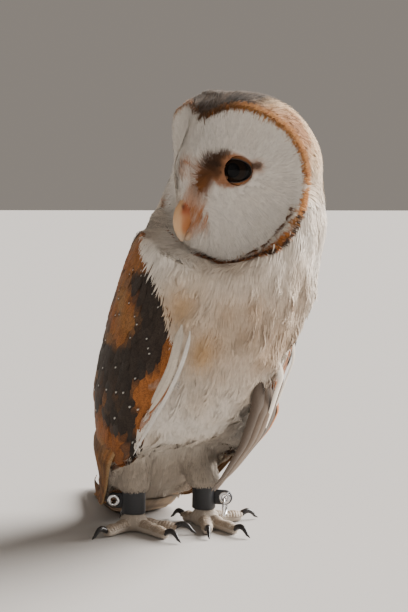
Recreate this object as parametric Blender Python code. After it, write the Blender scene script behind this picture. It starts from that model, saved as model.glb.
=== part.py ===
"""Barn owl (Tyto alba), life-size, standing still: wings folded, head turned back over its right shoulder.

Metres, +Z up. The breast faces -Y, the owl's right side is -X and the soles rest on Z = 0. The tail and the
wing tips, which would hang lower than the feet, curve back and lie along the floor.
"""

from math import acos, asin, cos, degrees, pi, radians, sin, sqrt

import bmesh
import bpy
from mathutils import Matrix, Vector

# ---------------------------------------------------------------- driving dimensions

GAP = 0.0003  # clearance between neighbouring solids

# Body axis: a straight line down the back, then an arc that lays the tail along the floor.
AXIS_TOP = Vector((0.0, -0.066, 0.200))
AXIS_SLOPE = radians(66)  # below horizontal
AXIS_END_HEIGHT = 0.0075
BEND_RADIUS = 0.048
BODY_SIDES = 36  # flat sides round the body's sections
SIDE_LEAN = 0.0075  # the shoulders stand this far to the owl's left of its feet
TAIL_SWING = 0.019  # and the tail tip this far

NECK_START, TRUNK_START, TRUNK_END = -0.030, 0.030, 0.200  # distances along the axis
WING_START, WING_TIP = 0.030, 0.297
TAIL_TIP = 0.283

# Outer form of body and folded wings: (distance along the axis, half width, half depth).
OUTER_FORM = (
    (-0.030, 0.024, 0.022), (-0.016, 0.038, 0.034), (0.000, 0.0475, 0.0410), (0.012, 0.0520, 0.0440),
    (0.036, 0.0560, 0.0475), (0.068, 0.0582, 0.0515), (0.094, 0.0577, 0.0515), (0.134, 0.0547, 0.0480),
    (0.154, 0.0490, 0.0420), (0.169, 0.0450, 0.0360), (0.180, 0.0410, 0.0300), (0.205, 0.0330, 0.0200),
    (0.235, 0.0270, 0.0120), (0.265, 0.0210, 0.0088), (0.285, 0.0145, 0.0066), (0.297, 0.0070, 0.0045),
)
# Nape and mantle fill the hollow between head and back: (distance, extra depth there).
NAPE_FILL = ((-0.030, 0.0220), (0.000, 0.0185), (0.020, 0.0130), (0.040, 0.0078), (0.075, 0.0))
# Breast and belly between the wings: (distance, half width, depth in front of the axis).
FRONT_FORM = (
    (-0.030, 0.024, 0.022), (0.000, 0.0475, 0.0410), (0.036, 0.0545, 0.0490), (0.068, 0.0570, 0.0525),
    (0.094, 0.0500, 0.0515), (0.120, 0.0385, 0.0440), (0.134, 0.0335, 0.0370), (0.146, 0.0305, 0.0285),
    (0.156, 0.0270, 0.0160), (0.168, 0.0210, 0.0060), (0.182, 0.0185, 0.0030), (0.200, 0.0175, 0.0055),
)
# Where a wing begins by the back and ends at its leading edge: (distance, degrees round from the back).
WING_BACK_EDGE = ((0.030, 69), (0.036, 58), (0.050, 38), (0.080, 17), (0.110, 5), (0.140, 1.2), (0.297, 1.2))
WING_FRONT_EDGE = (
    (0.030, 78), (0.036, 95), (0.046, 110), (0.068, 128), (0.092, 140), (0.134, 127), (0.161, 128),
    (0.174, 107), (0.190, 99), (0.205, 96), (0.265, 92), (0.297, 85),
)
UNDER_WING = 0.0012  # clearance between a wing and the flank below it
WING_THICKNESS = (
    (0.030, 0.0035), (0.060, 0.0060), (0.110, 0.0070), (0.160, 0.0055), (0.205, 0.0040), (0.297, 0.0025),
)
TAIL_HALF_WIDTH = ((0.200, 0.0175), (0.240, 0.0200), (0.270, 0.0205), (0.283, 0.0170))
TAIL_THICKNESS = 0.0034

# Head, in its own frame: x to the owl's right, y forward out of the face, z up.
HEAD_CENTRE = Vector((0.008, -0.055, 0.209))
HEAD_TURN = radians(-72)  # from straight ahead, to the owl's right
HEAD_ROLL = radians(-4)  # its right side a little higher
SKULL = Vector((0.0460, 0.0500, 0.0465))  # half width, half depth, half height
BOXY_FRONT, ROUND_BACK = 2.5, 2.1  # exponents of the skull's rounded box, squarer over the brow
# How fast the neck's feathers open in front of the face, so that they leave it free: on its left, its right
# where they lie close to the rim, and below.
COLLAR_LEFT, COLLAR_RIGHT, COLLAR_DROP = 0.95, 0.25, 0.20
EYE = Vector((0.0164, 0.0212, 0.0034))
EYE_RADIUS = 0.0083
# Rim of one half of the face, from the notch in the forehead round to the chin: (x, y, z).
RIM = (
    (0.0000, 0.0380, 0.0275), (0.0100, 0.0330, 0.0345), (0.0200, 0.0260, 0.0368), (0.0345, 0.0195, 0.0322),
    (0.0440, 0.0105, 0.0220), (0.0474, 0.0025, 0.0070), (0.0480, 0.0030, -0.0090), (0.0460, 0.0090, -0.0225),
    (0.0385, 0.0180, -0.0360), (0.0277, 0.0240, -0.0440), (0.0150, 0.0305, -0.0490), (0.0000, 0.0350, -0.0505),
)
FACE_CENTRE_HEIGHT = -0.006
# The ridge between the eyes, down to the chin: (height, distance forward).
RIDGE = (
    (-0.0505, 0.0350), (-0.035, 0.0385), (-0.020, 0.0430), (-0.010, 0.0465), (0.003, 0.0480), (0.015, 0.0455),
    (0.0285, 0.0380), (0.036, 0.0340),
)
FACE_SLOPE = 1.02  # how fast each half falls back from the ridge
BOWL_DEPTH = 0.0060

# Bill: (height, culmen forward, floor forward, half width), from the cere to the hooked tip.
BILL_SECTIONS = (
    (-0.0110, 0.0420, 0.0320, 0.0040), (-0.0145, 0.0475, 0.0320, 0.0049), (-0.0190, 0.0506, 0.0330, 0.0050),
    (-0.0240, 0.0516, 0.0352, 0.0044), (-0.0285, 0.0506, 0.0392, 0.0034), (-0.0325, 0.0480, 0.0418, 0.0022),
    (-0.0358, 0.0444, 0.0421, 0.0009),
)
LOWER_BILL_SECTIONS = (
    (-0.0270, 0.0370, 0.0300, 0.0032), (-0.0300, 0.0397, 0.0305, 0.0036), (-0.0325, 0.0411, 0.0320, 0.0032),
    (-0.0345, 0.0414, 0.0345, 0.0022), (-0.0356, 0.0409, 0.0372, 0.0010),
)

# Legs and feet; the owl's left foot stands a little ahead of its right one.
HIP = Vector((0.0190, 0.0080, 0.0740))
KNEE_OF_FEATHERS = Vector((0.0200, 0.0090, 0.0480))
ANKLE_HALF_SPACING = 0.0215
ANKLE_STEP = 0.0045
ANKLE_HEIGHT = 0.0120
SHANK_RADIUS = 0.0052
LEG_SIDES = 16  # flat sides round a leg and a cuff
CUFF_BOTTOM, CUFF_TOP, CUFF_WALL = 0.0100, 0.0240, 0.0015
TOE_RADIUS = 0.0042
SOLE_FLAT = 0.0005  # depth worn flat under each toe
# Toes: (name, degrees from straight ahead towards the outside, length of toe, length of claw).
TOES = (
    ("inner", -27, 0.0260, 0.0155), ("middle", 6, 0.0305, 0.0160), ("outer", 84, 0.0250, 0.0145),
    ("hind", -156, 0.0145, 0.0120),
)
FOOT_TURN = {"left": 0, "right": -15}  # degrees outwards that each whole foot is turned
CLAW_DROP = radians(62)  # how far a claw turns down along its length

# Tab of each leather cuff: degrees from straight ahead towards the outside, its reach from the shank's middle.
TABS = {"left": (46, 0.0128), "right": (122, 0.0118)}
TAB_HEIGHT, TAB_THICKNESS, TAB_LEVEL = 0.0088, 0.0026, 0.0172
EYELET_HOLE, EYELET_BARREL, EYELET_FLANGE, FLANGE_THICKNESS = 0.0017, 0.0026, 0.0037, 0.0005
RING_RADIUS, RING_WIRE = 0.0055, 0.0007


# ---------------------------------------------------------------- small tools


def clear_scene():
    for thing in list(bpy.data.objects):
        bpy.data.objects.remove(thing, do_unlink=True)


def material(name, colour, roughness, metallic=0.0):
    finish = bpy.data.materials.new(name)
    finish.use_nodes = True
    shader = finish.node_tree.nodes["Principled BSDF"]
    shader.inputs["Base Color"].default_value = (*colour, 1.0)
    shader.inputs["Roughness"].default_value = roughness
    shader.inputs["Metallic"].default_value = metallic
    finish.diffuse_color = (*colour, 1.0)
    return finish


def smoothstep(x):
    x = min(max(x, 0.0), 1.0)
    return x * x * (3 - 2 * x)


def along(stations, s, column=1):
    """The value in one column of the stations at distance s, on a smooth curve through them."""
    if s <= stations[0][0]:
        return stations[0][column]
    if s >= stations[-1][0]:
        return stations[-1][column]
    i = max(k for k in range(len(stations) - 1) if stations[k][0] <= s)
    before, start, end, after = (stations[min(max(k, 0), len(stations) - 1)] for k in range(i - 1, i + 3))
    span = end[0] - start[0]
    x = (s - start[0]) / span
    slope_in = (end[column] - before[column]) / (end[0] - before[0]) * span
    slope_out = (after[column] - start[column]) / (after[0] - start[0]) * span
    return (
        (2 * x**3 - 3 * x**2 + 1) * start[column]
        + (x**3 - 2 * x**2 + x) * slope_in
        + (3 * x**2 - 2 * x**3) * end[column]
        + (x**3 - x**2) * slope_out
    )


def steps(first, last, count):
    return [first + (last - first) * i / (count - 1) for i in range(count)]


def make_object(name, shape, finish, place=Matrix.Identity(4)):
    """A named object from a bmesh, with its normals turned outwards."""
    bmesh.ops.recalc_face_normals(shape, faces=shape.faces)
    if shape.calc_volume(signed=True) < 0:
        bmesh.ops.reverse_faces(shape, faces=shape.faces)
    mesh = bpy.data.meshes.new(name)
    shape.to_mesh(mesh)
    shape.free()
    mesh.materials.append(finish)
    mesh.shade_smooth()
    mesh.set_sharp_from_angle(angle=radians(45))
    made = bpy.data.objects.new(name, mesh)
    made.matrix_world = place
    bpy.context.scene.collection.objects.link(made)
    return made


def loft(rings, first_point=None, last_point=None):
    """A closed bmesh through rings of points, ending in a flat cap or in a point at either end."""
    shape = bmesh.new()
    rows = [[shape.verts.new(point) for point in ring] for ring in rings]
    count = len(rows[0])
    for lower, upper in zip(rows, rows[1:]):
        for j in range(count):
            k = (j + 1) % count
            shape.faces.new((lower[j], lower[k], upper[k], upper[j]))
    for row, point in ((rows[0], first_point), (rows[-1], last_point)):
        tip = shape.verts.new(point if point is not None else sum((v.co for v in row), Vector()) / count)
        for j in range(count):
            shape.faces.new((row[j], row[(j + 1) % count], tip))
    return shape


def grown(shape, distance):
    """The same bmesh with every point moved outwards by distance."""
    bmesh.ops.recalc_face_normals(shape, faces=shape.faces)
    shape.normal_update()
    moves = [vertex.normal * distance for vertex in shape.verts]
    for vertex, move in zip(shape.verts, moves):
        vertex.co += move
    return shape


def helper(made):
    """Marks an object as a cutter, which is not part of the owl."""
    made.hide_render = True
    made.display_type = "WIRE"
    return made


def cut(made, cutter, operation="DIFFERENCE"):
    change = made.modifiers.new(operation.lower(), "BOOLEAN")
    change.operation = operation
    change.solver = "EXACT"
    change.object = cutter


# ---------------------------------------------------------------- body axis and sections

AXIS_STRAIGHT = (AXIS_TOP.z - AXIS_END_HEIGHT - BEND_RADIUS * (1 - cos(AXIS_SLOPE))) / sin(AXIS_SLOPE)


def axis_frame(s):
    """Point on the body axis, and the direction to the owl's back there."""
    turned = min(max((s - AXIS_STRAIGHT) / BEND_RADIUS, 0.0), AXIS_SLOPE)
    slope = AXIS_SLOPE - turned
    straight = min(s, AXIS_STRAIGHT)
    y = AXIS_TOP.y + straight * cos(AXIS_SLOPE) + BEND_RADIUS * (sin(AXIS_SLOPE) - sin(slope))
    z = AXIS_TOP.z - straight * sin(AXIS_SLOPE) - BEND_RADIUS * (cos(slope) - cos(AXIS_SLOPE))
    y += max(s - AXIS_STRAIGHT - BEND_RADIUS * AXIS_SLOPE, 0.0)
    lean = SIDE_LEAN * (1 - smoothstep(s / 0.17))
    swing = TAIL_SWING * smoothstep((s - 0.19) / (WING_TIP - 0.19))
    return Vector((lean + swing, y, z)), Vector((0.0, sin(slope), cos(slope)))


def body_point(s, across, back):
    """The point that far to the owl's left of the axis, and that far to its back."""
    centre, dorsal = axis_frame(s)
    return centre + Vector((across, 0.0, 0.0)) + dorsal * back


def section_point(s, angle, form, inset=0.0):
    """On a form's section, angle radians round from the back towards the owl's left, sunk by inset."""
    wide, deep = along(form, s) - inset, along(form, s, 2) - inset
    deep += along(NAPE_FILL, s) * max(cos(angle), 0.0)
    return body_point(s, wide * sin(angle), deep * cos(angle))


def trunk_point(s, angle):
    """Under the wings the trunk is sunk by their thickness; breast and mantle come up flush with them."""
    turn = abs(degrees(angle))
    sunk = section_point(s, angle, OUTER_FORM, along(WING_THICKNESS, s) + UNDER_WING)
    back_edge, front_edge = along(WING_BACK_EDGE, s), along(WING_FRONT_EDGE, s)
    if s < WING_START - 0.002:
        back_edge = front_edge = 80
    retreat = 24 * smoothstep((s - 0.150) / 0.025)  # low down, the belly leaves the wings' inner faces
    shoulder = 12 * (1 - smoothstep((s - 0.050) / 0.045))  # the wing's edges run most aslant here
    breast = smoothstep((turn - front_edge - 4 - 0.6 * shoulder + retreat) / (10 + retreat))
    mantle = smoothstep((back_edge - 4 - shoulder - turn) / 10) if back_edge > 3 else 0.0
    point = sunk.lerp(section_point(s, angle, FRONT_FORM), breast)
    return point.lerp(section_point(s, angle, OUTER_FORM), mantle)


def make_trunk(name, finish, head_cutter, grow=0.0):
    angles = [2 * pi * j / BODY_SIDES - pi for j in range(BODY_SIDES)]
    stations = steps(TRUNK_START + GAP / 2, 0.080, 7) + steps(0.092, 0.150, 6) + steps(0.159, TRUNK_END - GAP / 2, 5)
    shape = grown(loft([[trunk_point(s, a) for a in angles] for s in stations]), grow)
    made = make_object(name, shape, finish)
    cut(made, head_cutter)
    return made


def neck_rings(top, bottom, count):
    angles = [2 * pi * j / BODY_SIDES - pi for j in range(BODY_SIDES)]
    rings = []
    for s in steps(top, bottom, count):
        blend = smoothstep((s - TRUNK_START + 0.012) / 0.012)
        rings.append([section_point(s, a, FRONT_FORM).lerp(trunk_point(s, a), blend) for a in angles])
    return rings


def make_neck(finish, head_cutter):
    """Its feathers end at the rim of the face and stand clear in front of it."""
    made = make_object("neck", loft(neck_rings(NECK_START, TRUNK_START - GAP / 2, 7)), finish)
    rings = []
    for reach in (-0.006, 0.0, 0.014, 0.032, 0.060):
        opened = max(reach, 0.0)
        ring = []
        for j in range(40):
            rim = rim_point(j / 20)
            flare = COLLAR_RIGHT if rim.x > 0 else COLLAR_LEFT
            across = rim.x * (0.98 + opened * flare / RIM[6][0])
            ring.append(Vector((across, rim.y + reach, rim.z * 0.98 - opened * COLLAR_DROP * (rim.z < 0))))
        rings.append(ring)
    clearance = helper(make_object("face_clearance", loft(rings), finish, HEAD_PLACE))
    cut(clearance, head_cutter, "UNION")
    cut(made, clearance)
    return made


# ---------------------------------------------------------------- wings and tail


def wing_section(s, side, points=9):
    """One closed section of a folded wing: out along its back, and home along the body."""
    first = radians(along(WING_BACK_EDGE, s))
    last = radians(along(WING_FRONT_EDGE, s))
    least = asin(min(2.0 * GAP / along(OUTER_FORM, s), 1.0))
    thick = along(WING_THICKNESS, s)
    outside, inside = [], []
    for i in range(points):
        part = i / (points - 1)
        angle = max(first, least) + (last - max(first, least)) * part
        full = 0.30 + 0.70 * sin(pi * part) ** 0.6
        outside.append(section_point(s, side * angle, OUTER_FORM, thick * (1 - full)))
        inside.append(section_point(s, side * angle, OUTER_FORM, thick))
    return outside + inside[::-1]


def make_wing(name, side, finish):
    stations = (
        [WING_START, 0.0325, 0.037, 0.044]
        + steps(0.054, 0.154, 7)
        + [0.163, 0.172, 0.180]
        + steps(0.192, 0.280, 6)
        + [0.288, 0.293, WING_TIP]
    )
    return make_object(name, loft([wing_section(s, side) for s in stations]), finish)


def tail_section(s):
    wide = along(TAIL_HALF_WIDTH, s)
    wing_floor = along(OUTER_FORM, s, 2) - along(WING_THICKNESS, s) - 2 * GAP
    part = (s - TRUNK_END) / (TAIL_TIP - TRUNK_END)
    floor = -0.0062 + (-AXIS_END_HEIGHT + 0.0062) * smoothstep(part * 2.4)
    roof = (wing_floor - 0.003) * (1 - smoothstep(part * 1.6)) + (floor + TAIL_THICKNESS) * smoothstep(part * 1.6)
    edge = floor + 0.45 * TAIL_THICKNESS
    top = [(wide * x, edge + (roof - edge) * (1 - x * x)) for x in (1.0, 0.8, 0.5, 0.2, -0.2, -0.5, -0.8, -1.0)]
    bottom = [(wide * x, floor) for x in (-0.93, -0.5, 0.0, 0.5, 0.93)]
    return [body_point(s, across, back) for across, back in top + bottom]


def make_tail(finish):
    stations = [TRUNK_END + GAP / 2] + steps(0.208, 0.272, 9) + [0.278, TAIL_TIP]
    return make_object("tail", loft([tail_section(s) for s in stations]), finish)


# ---------------------------------------------------------------- head

HEAD_PLACE = (
    Matrix.Translation(HEAD_CENTRE) @ Matrix.Rotation(HEAD_TURN + pi, 4, "Z") @ Matrix.Rotation(HEAD_ROLL, 4, "Y")
)


def rim_point(turn):
    """The face's rim, turn going from 0 at the forehead notch to 1 at the chin and on to 2."""
    side = 1 if turn <= 1 else -1
    place = (turn if turn <= 1 else 2 - turn) * (len(RIM) - 1)
    table = [(i, *point) for i, point in enumerate(RIM)]
    x, y, z = (along(table, place, column) for column in (1, 2, 3))
    return Vector((side * x, y, z))


def face_depth(x, z):
    """How far forward the face stands at x across and z up, before it meets the rim."""
    fall = sqrt(x * x + 0.006**2) - 0.006
    bowl = BOWL_DEPTH * 2.718 ** (-(((abs(x) - 0.022) / 0.013) ** 2) - ((z - EYE.z) / 0.020) ** 2)
    return along(RIDGE, z) - FACE_SLOPE * fall - bowl


def skull_radius(direction):
    """Distance from the head's centre to the feathered skull, a box so rounded that it is nearly an ellipsoid."""
    power = ROUND_BACK + (BOXY_FRONT - ROUND_BACK) * smoothstep((direction.y + 0.4) / 0.8)
    return sum(abs(direction[i] / SKULL[i]) ** power for i in range(3)) ** (-1 / power)


def head_rings():
    """Rings from the middle of the face out to its rim, then round the skull to the nape."""
    around = 40
    turns = [2 * j / around for j in range(around)]
    rings = []
    for t in (0.20, 0.42, 0.62, 0.80, 1.0):
        ring = []
        for turn in turns:
            rim = rim_point(turn)
            x = rim.x * t
            z = FACE_CENTRE_HEIGHT + (rim.z - FACE_CENTRE_HEIGHT) * t
            blend = t**3
            ring.append(Vector((x, face_depth(x, z) * (1 - blend) + rim.y * blend, z)))
        rings.append(ring)
    nape = Vector((0.0, -1.0, -0.10)).normalized()
    for t in (0.07, 0.20, 0.38, 0.58, 0.79):
        ring = []
        for turn in turns:
            rim = rim_point(turn)
            aim = rim.normalized()
            swing = acos(max(-1.0, min(1.0, aim.dot(nape))))
            direction = (aim * sin((1 - t) * swing) + nape * sin(t * swing)) / sin(swing)
            blend = smoothstep(t * 2.6)
            ring.append(direction * (rim.length * (1 - blend) + skull_radius(direction) * blend + 0.0012 * (t < 0.3)))
        rings.append(ring)
    front = Vector((0.0, face_depth(0.0, FACE_CENTRE_HEIGHT), FACE_CENTRE_HEIGHT))
    back = nape * skull_radius(nape)
    return rings, front, back


def make_head(name, finish, grow=0.0):
    return make_object(name, grown(loft(*head_rings()), grow), finish, HEAD_PLACE)


def make_eye(name, side, finish, grow=0.0):
    shape = bmesh.new()
    centre = Vector((-side * EYE.x, EYE.y, EYE.z))
    bmesh.ops.create_uvsphere(
        shape, u_segments=12, v_segments=8, radius=EYE_RADIUS + grow, matrix=Matrix.Translation(centre)
    )
    return make_object(name, shape, finish, HEAD_PLACE)


def make_bill(name, sections, finish, head_cutter):
    """Rounded-triangle sections standing out of the face, narrow along the culmen."""
    rings = []
    for height, culmen, floor, half in sections:
        deep = culmen - floor
        ring = []
        for j in range(12):
            turn = 2 * pi * j / 12
            forward = (1 + cos(turn)) / 2
            ring.append(Vector((half * sin(turn) * (1.15 - 0.45 * forward), floor + deep * forward, height)))
        rings.append(ring)
    made = make_object(name, loft(rings), finish, HEAD_PLACE)
    cut(made, head_cutter)
    return made


# ---------------------------------------------------------------- legs, feet and what they wear


def ankle(side):
    """Centre of the shank just above the foot; side is 1 on the owl's left, -1 on its right."""
    return Vector((side * ANKLE_HALF_SPACING, -side * ANKLE_STEP, ANKLE_HEIGHT))


def round_ring(centre, direction, wide, deep, count, start=0.0):
    """A ring of points square to direction: wide is across the owl, deep is front to back."""
    forward = direction.cross(Vector((1.0, 0.0, 0.0))).normalized()
    across = forward.cross(direction).normalized()
    turns = [start + 2 * pi * j / count for j in range(count)]
    return [centre + across * wide * cos(turn) + forward * deep * sin(turn) for turn in turns]


def make_leg(name, side, finish, trunk_cutter):
    """The feathered thigh and shank, down to a bare neck inside the leather cuff."""
    hip = Vector((side * HIP.x, HIP.y, HIP.z))
    knee = Vector((side * KNEE_OF_FEATHERS.x, KNEE_OF_FEATHERS.y, KNEE_OF_FEATHERS.z))
    foot = ankle(side)
    cuff = foot + Vector((0, 0, CUFF_TOP + GAP - foot.z))
    low = cuff.lerp(knee, 0.45)
    down = Vector((0, 0, -1))
    rings = [
        round_ring(hip, down, 0.0125, 0.0145, LEG_SIDES),
        round_ring(knee.lerp(hip, 0.45), down, 0.0140, 0.0155, LEG_SIDES),
        round_ring(knee, down, 0.0140, 0.0145, LEG_SIDES),
        round_ring(low, down, 0.0126, 0.0122, LEG_SIDES),
        round_ring(cuff.lerp(low, 0.30), down, 0.0118, 0.0112, LEG_SIDES),
        round_ring(cuff, down, 0.0104, 0.0100, LEG_SIDES),
        round_ring(cuff, down, SHANK_RADIUS, SHANK_RADIUS, LEG_SIDES),
        round_ring(foot + Vector((0, 0, 0.0003)), down, SHANK_RADIUS, SHANK_RADIUS, LEG_SIDES),
    ]
    made = make_object(name, loft(rings), finish)
    cut(made, trunk_cutter)
    return made


def toe_direction(side, turn):
    return Vector((side * sin(radians(turn)), -cos(radians(turn)), 0.0))


def toe_rings(start, direction, length):
    """A toe with its joints standing out a little, tapering to the claw."""
    rings = []
    for t in steps(0.0, 1.0, 7):
        radius = TOE_RADIUS * (1.0 - 0.26 * t + 0.09 * cos(2 * pi * 2.5 * t))
        height = TOE_RADIUS * (1.0 - 0.26 * t) - SOLE_FLAT
        centre = start + direction * length * t
        across = Vector((direction.y, -direction.x, 0.0))
        turns = [2 * pi * j / 10 + pi / 10 for j in range(10)]
        rings.append(
            [
                Vector((centre.x, centre.y, height)) + across * radius * cos(a) + Vector((0, 0, radius * sin(a)))
                for a in turns
            ]
        )
    return rings


def make_foot(word, side, finish):
    """Pad and four toes in one piece, cut flat on the floor."""
    name = f"foot_{word}"
    centre = ankle(side)
    shape = bmesh.new()
    pad = Matrix.Translation(Vector((centre.x, centre.y - 0.0010, 0.0048))) @ Matrix.Diagonal((1, 1.05, 0.82, 1))
    bmesh.ops.create_uvsphere(shape, u_segments=14, v_segments=8, radius=0.0082, matrix=pad)
    made = make_object(name, shape, finish)
    for toe, turn, length, _ in TOES:
        direction = toe_direction(side, turn + FOOT_TURN[word])
        piece = make_object(f"{name}_{toe}_toe", loft(toe_rings(centre, direction, length)), finish)
        cut(made, helper(piece), "UNION")
    floor = bmesh.new()
    bmesh.ops.create_cube(floor, size=0.2, matrix=Matrix.Translation((centre.x, centre.y, -0.1)))
    cut(made, helper(make_object(f"{name}_floor_cut", floor, finish)))
    top = bmesh.new()
    bmesh.ops.create_cube(
        top, size=0.04, matrix=Matrix.Translation((centre.x, centre.y, CUFF_BOTTOM - GAP + 0.02))
    )
    cut(made, helper(make_object(f"{name}_top_cut", top, finish)))
    return made


def make_claw(name, side, turn, toe_length, length, finish):
    """A claw that leaves the toe level and hooks down to the floor."""
    direction = toe_direction(side, turn)
    start = ankle(side) + direction * (toe_length + GAP)
    across = Vector((direction.y, -direction.x, 0.0))
    height = 0.85 * TOE_RADIUS
    sweep = CLAW_DROP
    bend = length / sweep
    rings = []
    for t in (0.0, 0.22, 0.44, 0.65, 0.85):
        angle = sweep * t
        rise = 0.0021 * sin(pi * min(t * 1.4, 1.0))
        out = bend * sin(angle)
        centre = Vector((start.x, start.y, height + rise)) + direction * out
        centre.z -= (height - 0.0007) * (1 - cos(angle)) / (1 - cos(sweep))
        lean = angle * 0.7
        normal = direction * sin(lean) + Vector((0, 0, cos(lean)))
        radius = 0.0024 * (1 - t) ** 0.75 + 0.0002
        turns = [2 * pi * j / 7 for j in range(7)]
        rings.append([centre + across * radius * 0.8 * cos(a) + normal * radius * sin(a) for a in turns])
    tip = Vector((start.x, start.y, 0.0004)) + direction * bend * sin(sweep)
    return make_object(name, loft(rings, last_point=tip), finish)


def make_cuff(name, side, finish):
    """Leather band round the shank, of rectangular section with softened edges."""
    inner = SHANK_RADIUS + GAP
    outer = inner + CUFF_WALL
    soft = CUFF_WALL * 0.3
    profile = (
        (inner, CUFF_BOTTOM), (outer - soft, CUFF_BOTTOM), (outer, CUFF_BOTTOM + soft),
        (outer, CUFF_TOP - soft), (outer - soft, CUFF_TOP), (inner, CUFF_TOP),
    )
    centre = ankle(side)
    upright = Matrix.Translation((centre.x, centre.y, 0.0)) @ Matrix.Rotation(pi / 2, 4, "X")
    return make_object(name, turned_ring(profile, LEG_SIDES), finish, upright)


def tab_frame(side, word):
    """Place of a cuff's tab: X out from the shank, Y through the leather, Z up, centred on its eyelet."""
    turn, reach = TABS[word]
    out = toe_direction(side, turn)
    centre = ankle(side) + out * reach
    centre.z = TAB_LEVEL
    through = Vector((0, 0, 1)).cross(out)
    axes = Matrix((out, through, Vector((0, 0, 1)))).transposed().to_4x4()
    return Matrix.Translation(centre) @ axes


def add_tab(cuff, side, word, finish):
    """Joins a round-ended tab with a hole in it to a cuff."""
    place = tab_frame(side, word)
    inside = -TABS[word][1] + SHANK_RADIUS + GAP + 0.5 * CUFF_WALL
    half = TAB_HEIGHT / 2
    outline = [(inside, -half), (0.0, -half)]
    outline += [(half * sin(pi * j / 8), -half * cos(pi * j / 8)) for j in range(1, 8)]
    outline += [(0.0, half), (inside, half)]
    rings = [[Vector((x, y, z)) for x, z in outline] for y in (-TAB_THICKNESS / 2, TAB_THICKNESS / 2)]
    cut(cuff, helper(make_object(f"{cuff.name}_tab", loft(rings), finish, place)), "UNION")
    hole = [
        [Vector((r * cos(2 * pi * j / 10), y, r * sin(2 * pi * j / 10))) for j in range(10)]
        for r, y in ((EYELET_BARREL + GAP, -0.004), (EYELET_BARREL + GAP, 0.004))
    ]
    cut(cuff, helper(make_object(f"{cuff.name}_tab_hole", loft(hole), finish, place)))


def make_eyelet(name, side, word, finish):
    """A flanged steel eyelet through the tab."""
    flat = TAB_THICKNESS / 2 + GAP
    end = flat + FLANGE_THICKNESS
    profile = (
        (EYELET_HOLE, -end), (EYELET_FLANGE, -end), (EYELET_FLANGE, -flat), (EYELET_BARREL, -flat),
        (EYELET_BARREL, flat), (EYELET_FLANGE, flat), (EYELET_FLANGE, end), (EYELET_HOLE, end),
    )
    return make_object(name, turned_ring(profile, 10), finish, tab_frame(side, word))


def turned_ring(profile, around):
    """A closed ring from a profile of (radius, y) turned about the Y axis."""
    shape = bmesh.new()
    rows = []
    for j in range(around):
        turn = 2 * pi * j / around
        rows.append([shape.verts.new((r * cos(turn), y, r * sin(turn))) for r, y in profile])
    for j in range(around):
        for i in range(len(profile)):
            k, m = (j + 1) % around, (i + 1) % len(profile)
            shape.faces.new((rows[j][i], rows[k][i], rows[k][m], rows[j][m]))
    return shape


def make_ring(name, side, word, finish):
    """A round wire ring that hangs through the eyelet, square to the tab."""
    section = [2 * pi * i / 6 for i in range(6)]
    profile = [(RING_RADIUS + RING_WIRE * cos(a), RING_WIRE * sin(a)) for a in section]
    hang = Matrix.Translation((0.0, 0.0, -RING_RADIUS)) @ Matrix.Rotation(pi / 2, 4, "Z")
    return make_object(name, turned_ring(profile, 16), finish, tab_frame(side, word) @ hang)


# ---------------------------------------------------------------- the owl


def centre_over_floor():
    """Hangs every piece on one empty, placed so that the middle of the owl's box on the floor is the origin."""
    owl = bpy.data.objects.new("owl", None)
    for piece in bpy.data.objects:
        if piece.type == "MESH":
            piece.parent = owl
    bpy.context.scene.collection.objects.link(owl)
    bpy.context.view_layer.update()
    graph = bpy.context.evaluated_depsgraph_get()
    points = []
    for piece in owl.children:
        if not piece.hide_render:
            shown = piece.evaluated_get(graph)
            points += [shown.matrix_world @ vertex.co for vertex in shown.data.vertices]
    for axis in (0, 1):
        values = [point[axis] for point in points]
        owl.location[axis] = -(min(values) + max(values)) / 2


clear_scene()
plumage = material("white_plumage", (0.80, 0.74, 0.66), 0.9)
back_plumage = material("golden_grey_plumage", (0.42, 0.25, 0.12), 0.85)
horn = material("pink_horn", (0.72, 0.45, 0.33), 0.45)
eye_gloss = material("black_eye", (0.01, 0.01, 0.012), 0.08)
toe_skin = material("toe_skin", (0.55, 0.47, 0.40), 0.7)
claw_horn = material("black_claw", (0.03, 0.03, 0.035), 0.35)
leather = material("black_leather", (0.02, 0.02, 0.024), 0.5)
steel = material("bright_steel", (0.75, 0.76, 0.78), 0.25, 1.0)

head = make_head("head", plumage)
head_cutter = helper(make_head("head_clearance", plumage, 2 * GAP))
for side, word in ((1, "left"), (-1, "right")):
    make_eye(f"eye_{word}", side, eye_gloss)
    cut(head, helper(make_eye(f"eye_{word}_socket", side, plumage, GAP)))
make_bill("bill_upper", BILL_SECTIONS, horn, head_cutter)
make_bill("bill_lower", LOWER_BILL_SECTIONS, horn, head_cutter)
make_neck(plumage, head_cutter)
make_trunk("trunk", plumage, head_cutter)
trunk_cutter = helper(make_trunk("trunk_clearance", plumage, head_cutter, 4 * GAP))
make_tail(back_plumage)
for side, word in ((1, "left"), (-1, "right")):
    make_wing(f"wing_{word}", side, back_plumage)
    make_leg(f"leg_{word}", side, plumage, trunk_cutter)
    make_foot(word, side, toe_skin)
    cuff = make_cuff(f"anklet_{word}", side, leather)
    add_tab(cuff, side, word, leather)
    make_eyelet(f"eyelet_{word}", side, word, steel)
    for toe, turn, toe_length, claw_length in TOES:
        turned = turn + FOOT_TURN[word]
        make_claw(f"claw_{word}_{toe}", side, turned, toe_length, claw_length, claw_horn)
make_ring("ring_left", 1, "left", steel)
centre_over_floor()
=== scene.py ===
from itertools import product
from math import cos, pi, radians, sin

import bmesh
import bpy
import numpy as np
from mathutils import Matrix, Vector
from mathutils.bvhtree import BVHTree
from mathutils.kdtree import KDTree


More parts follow.
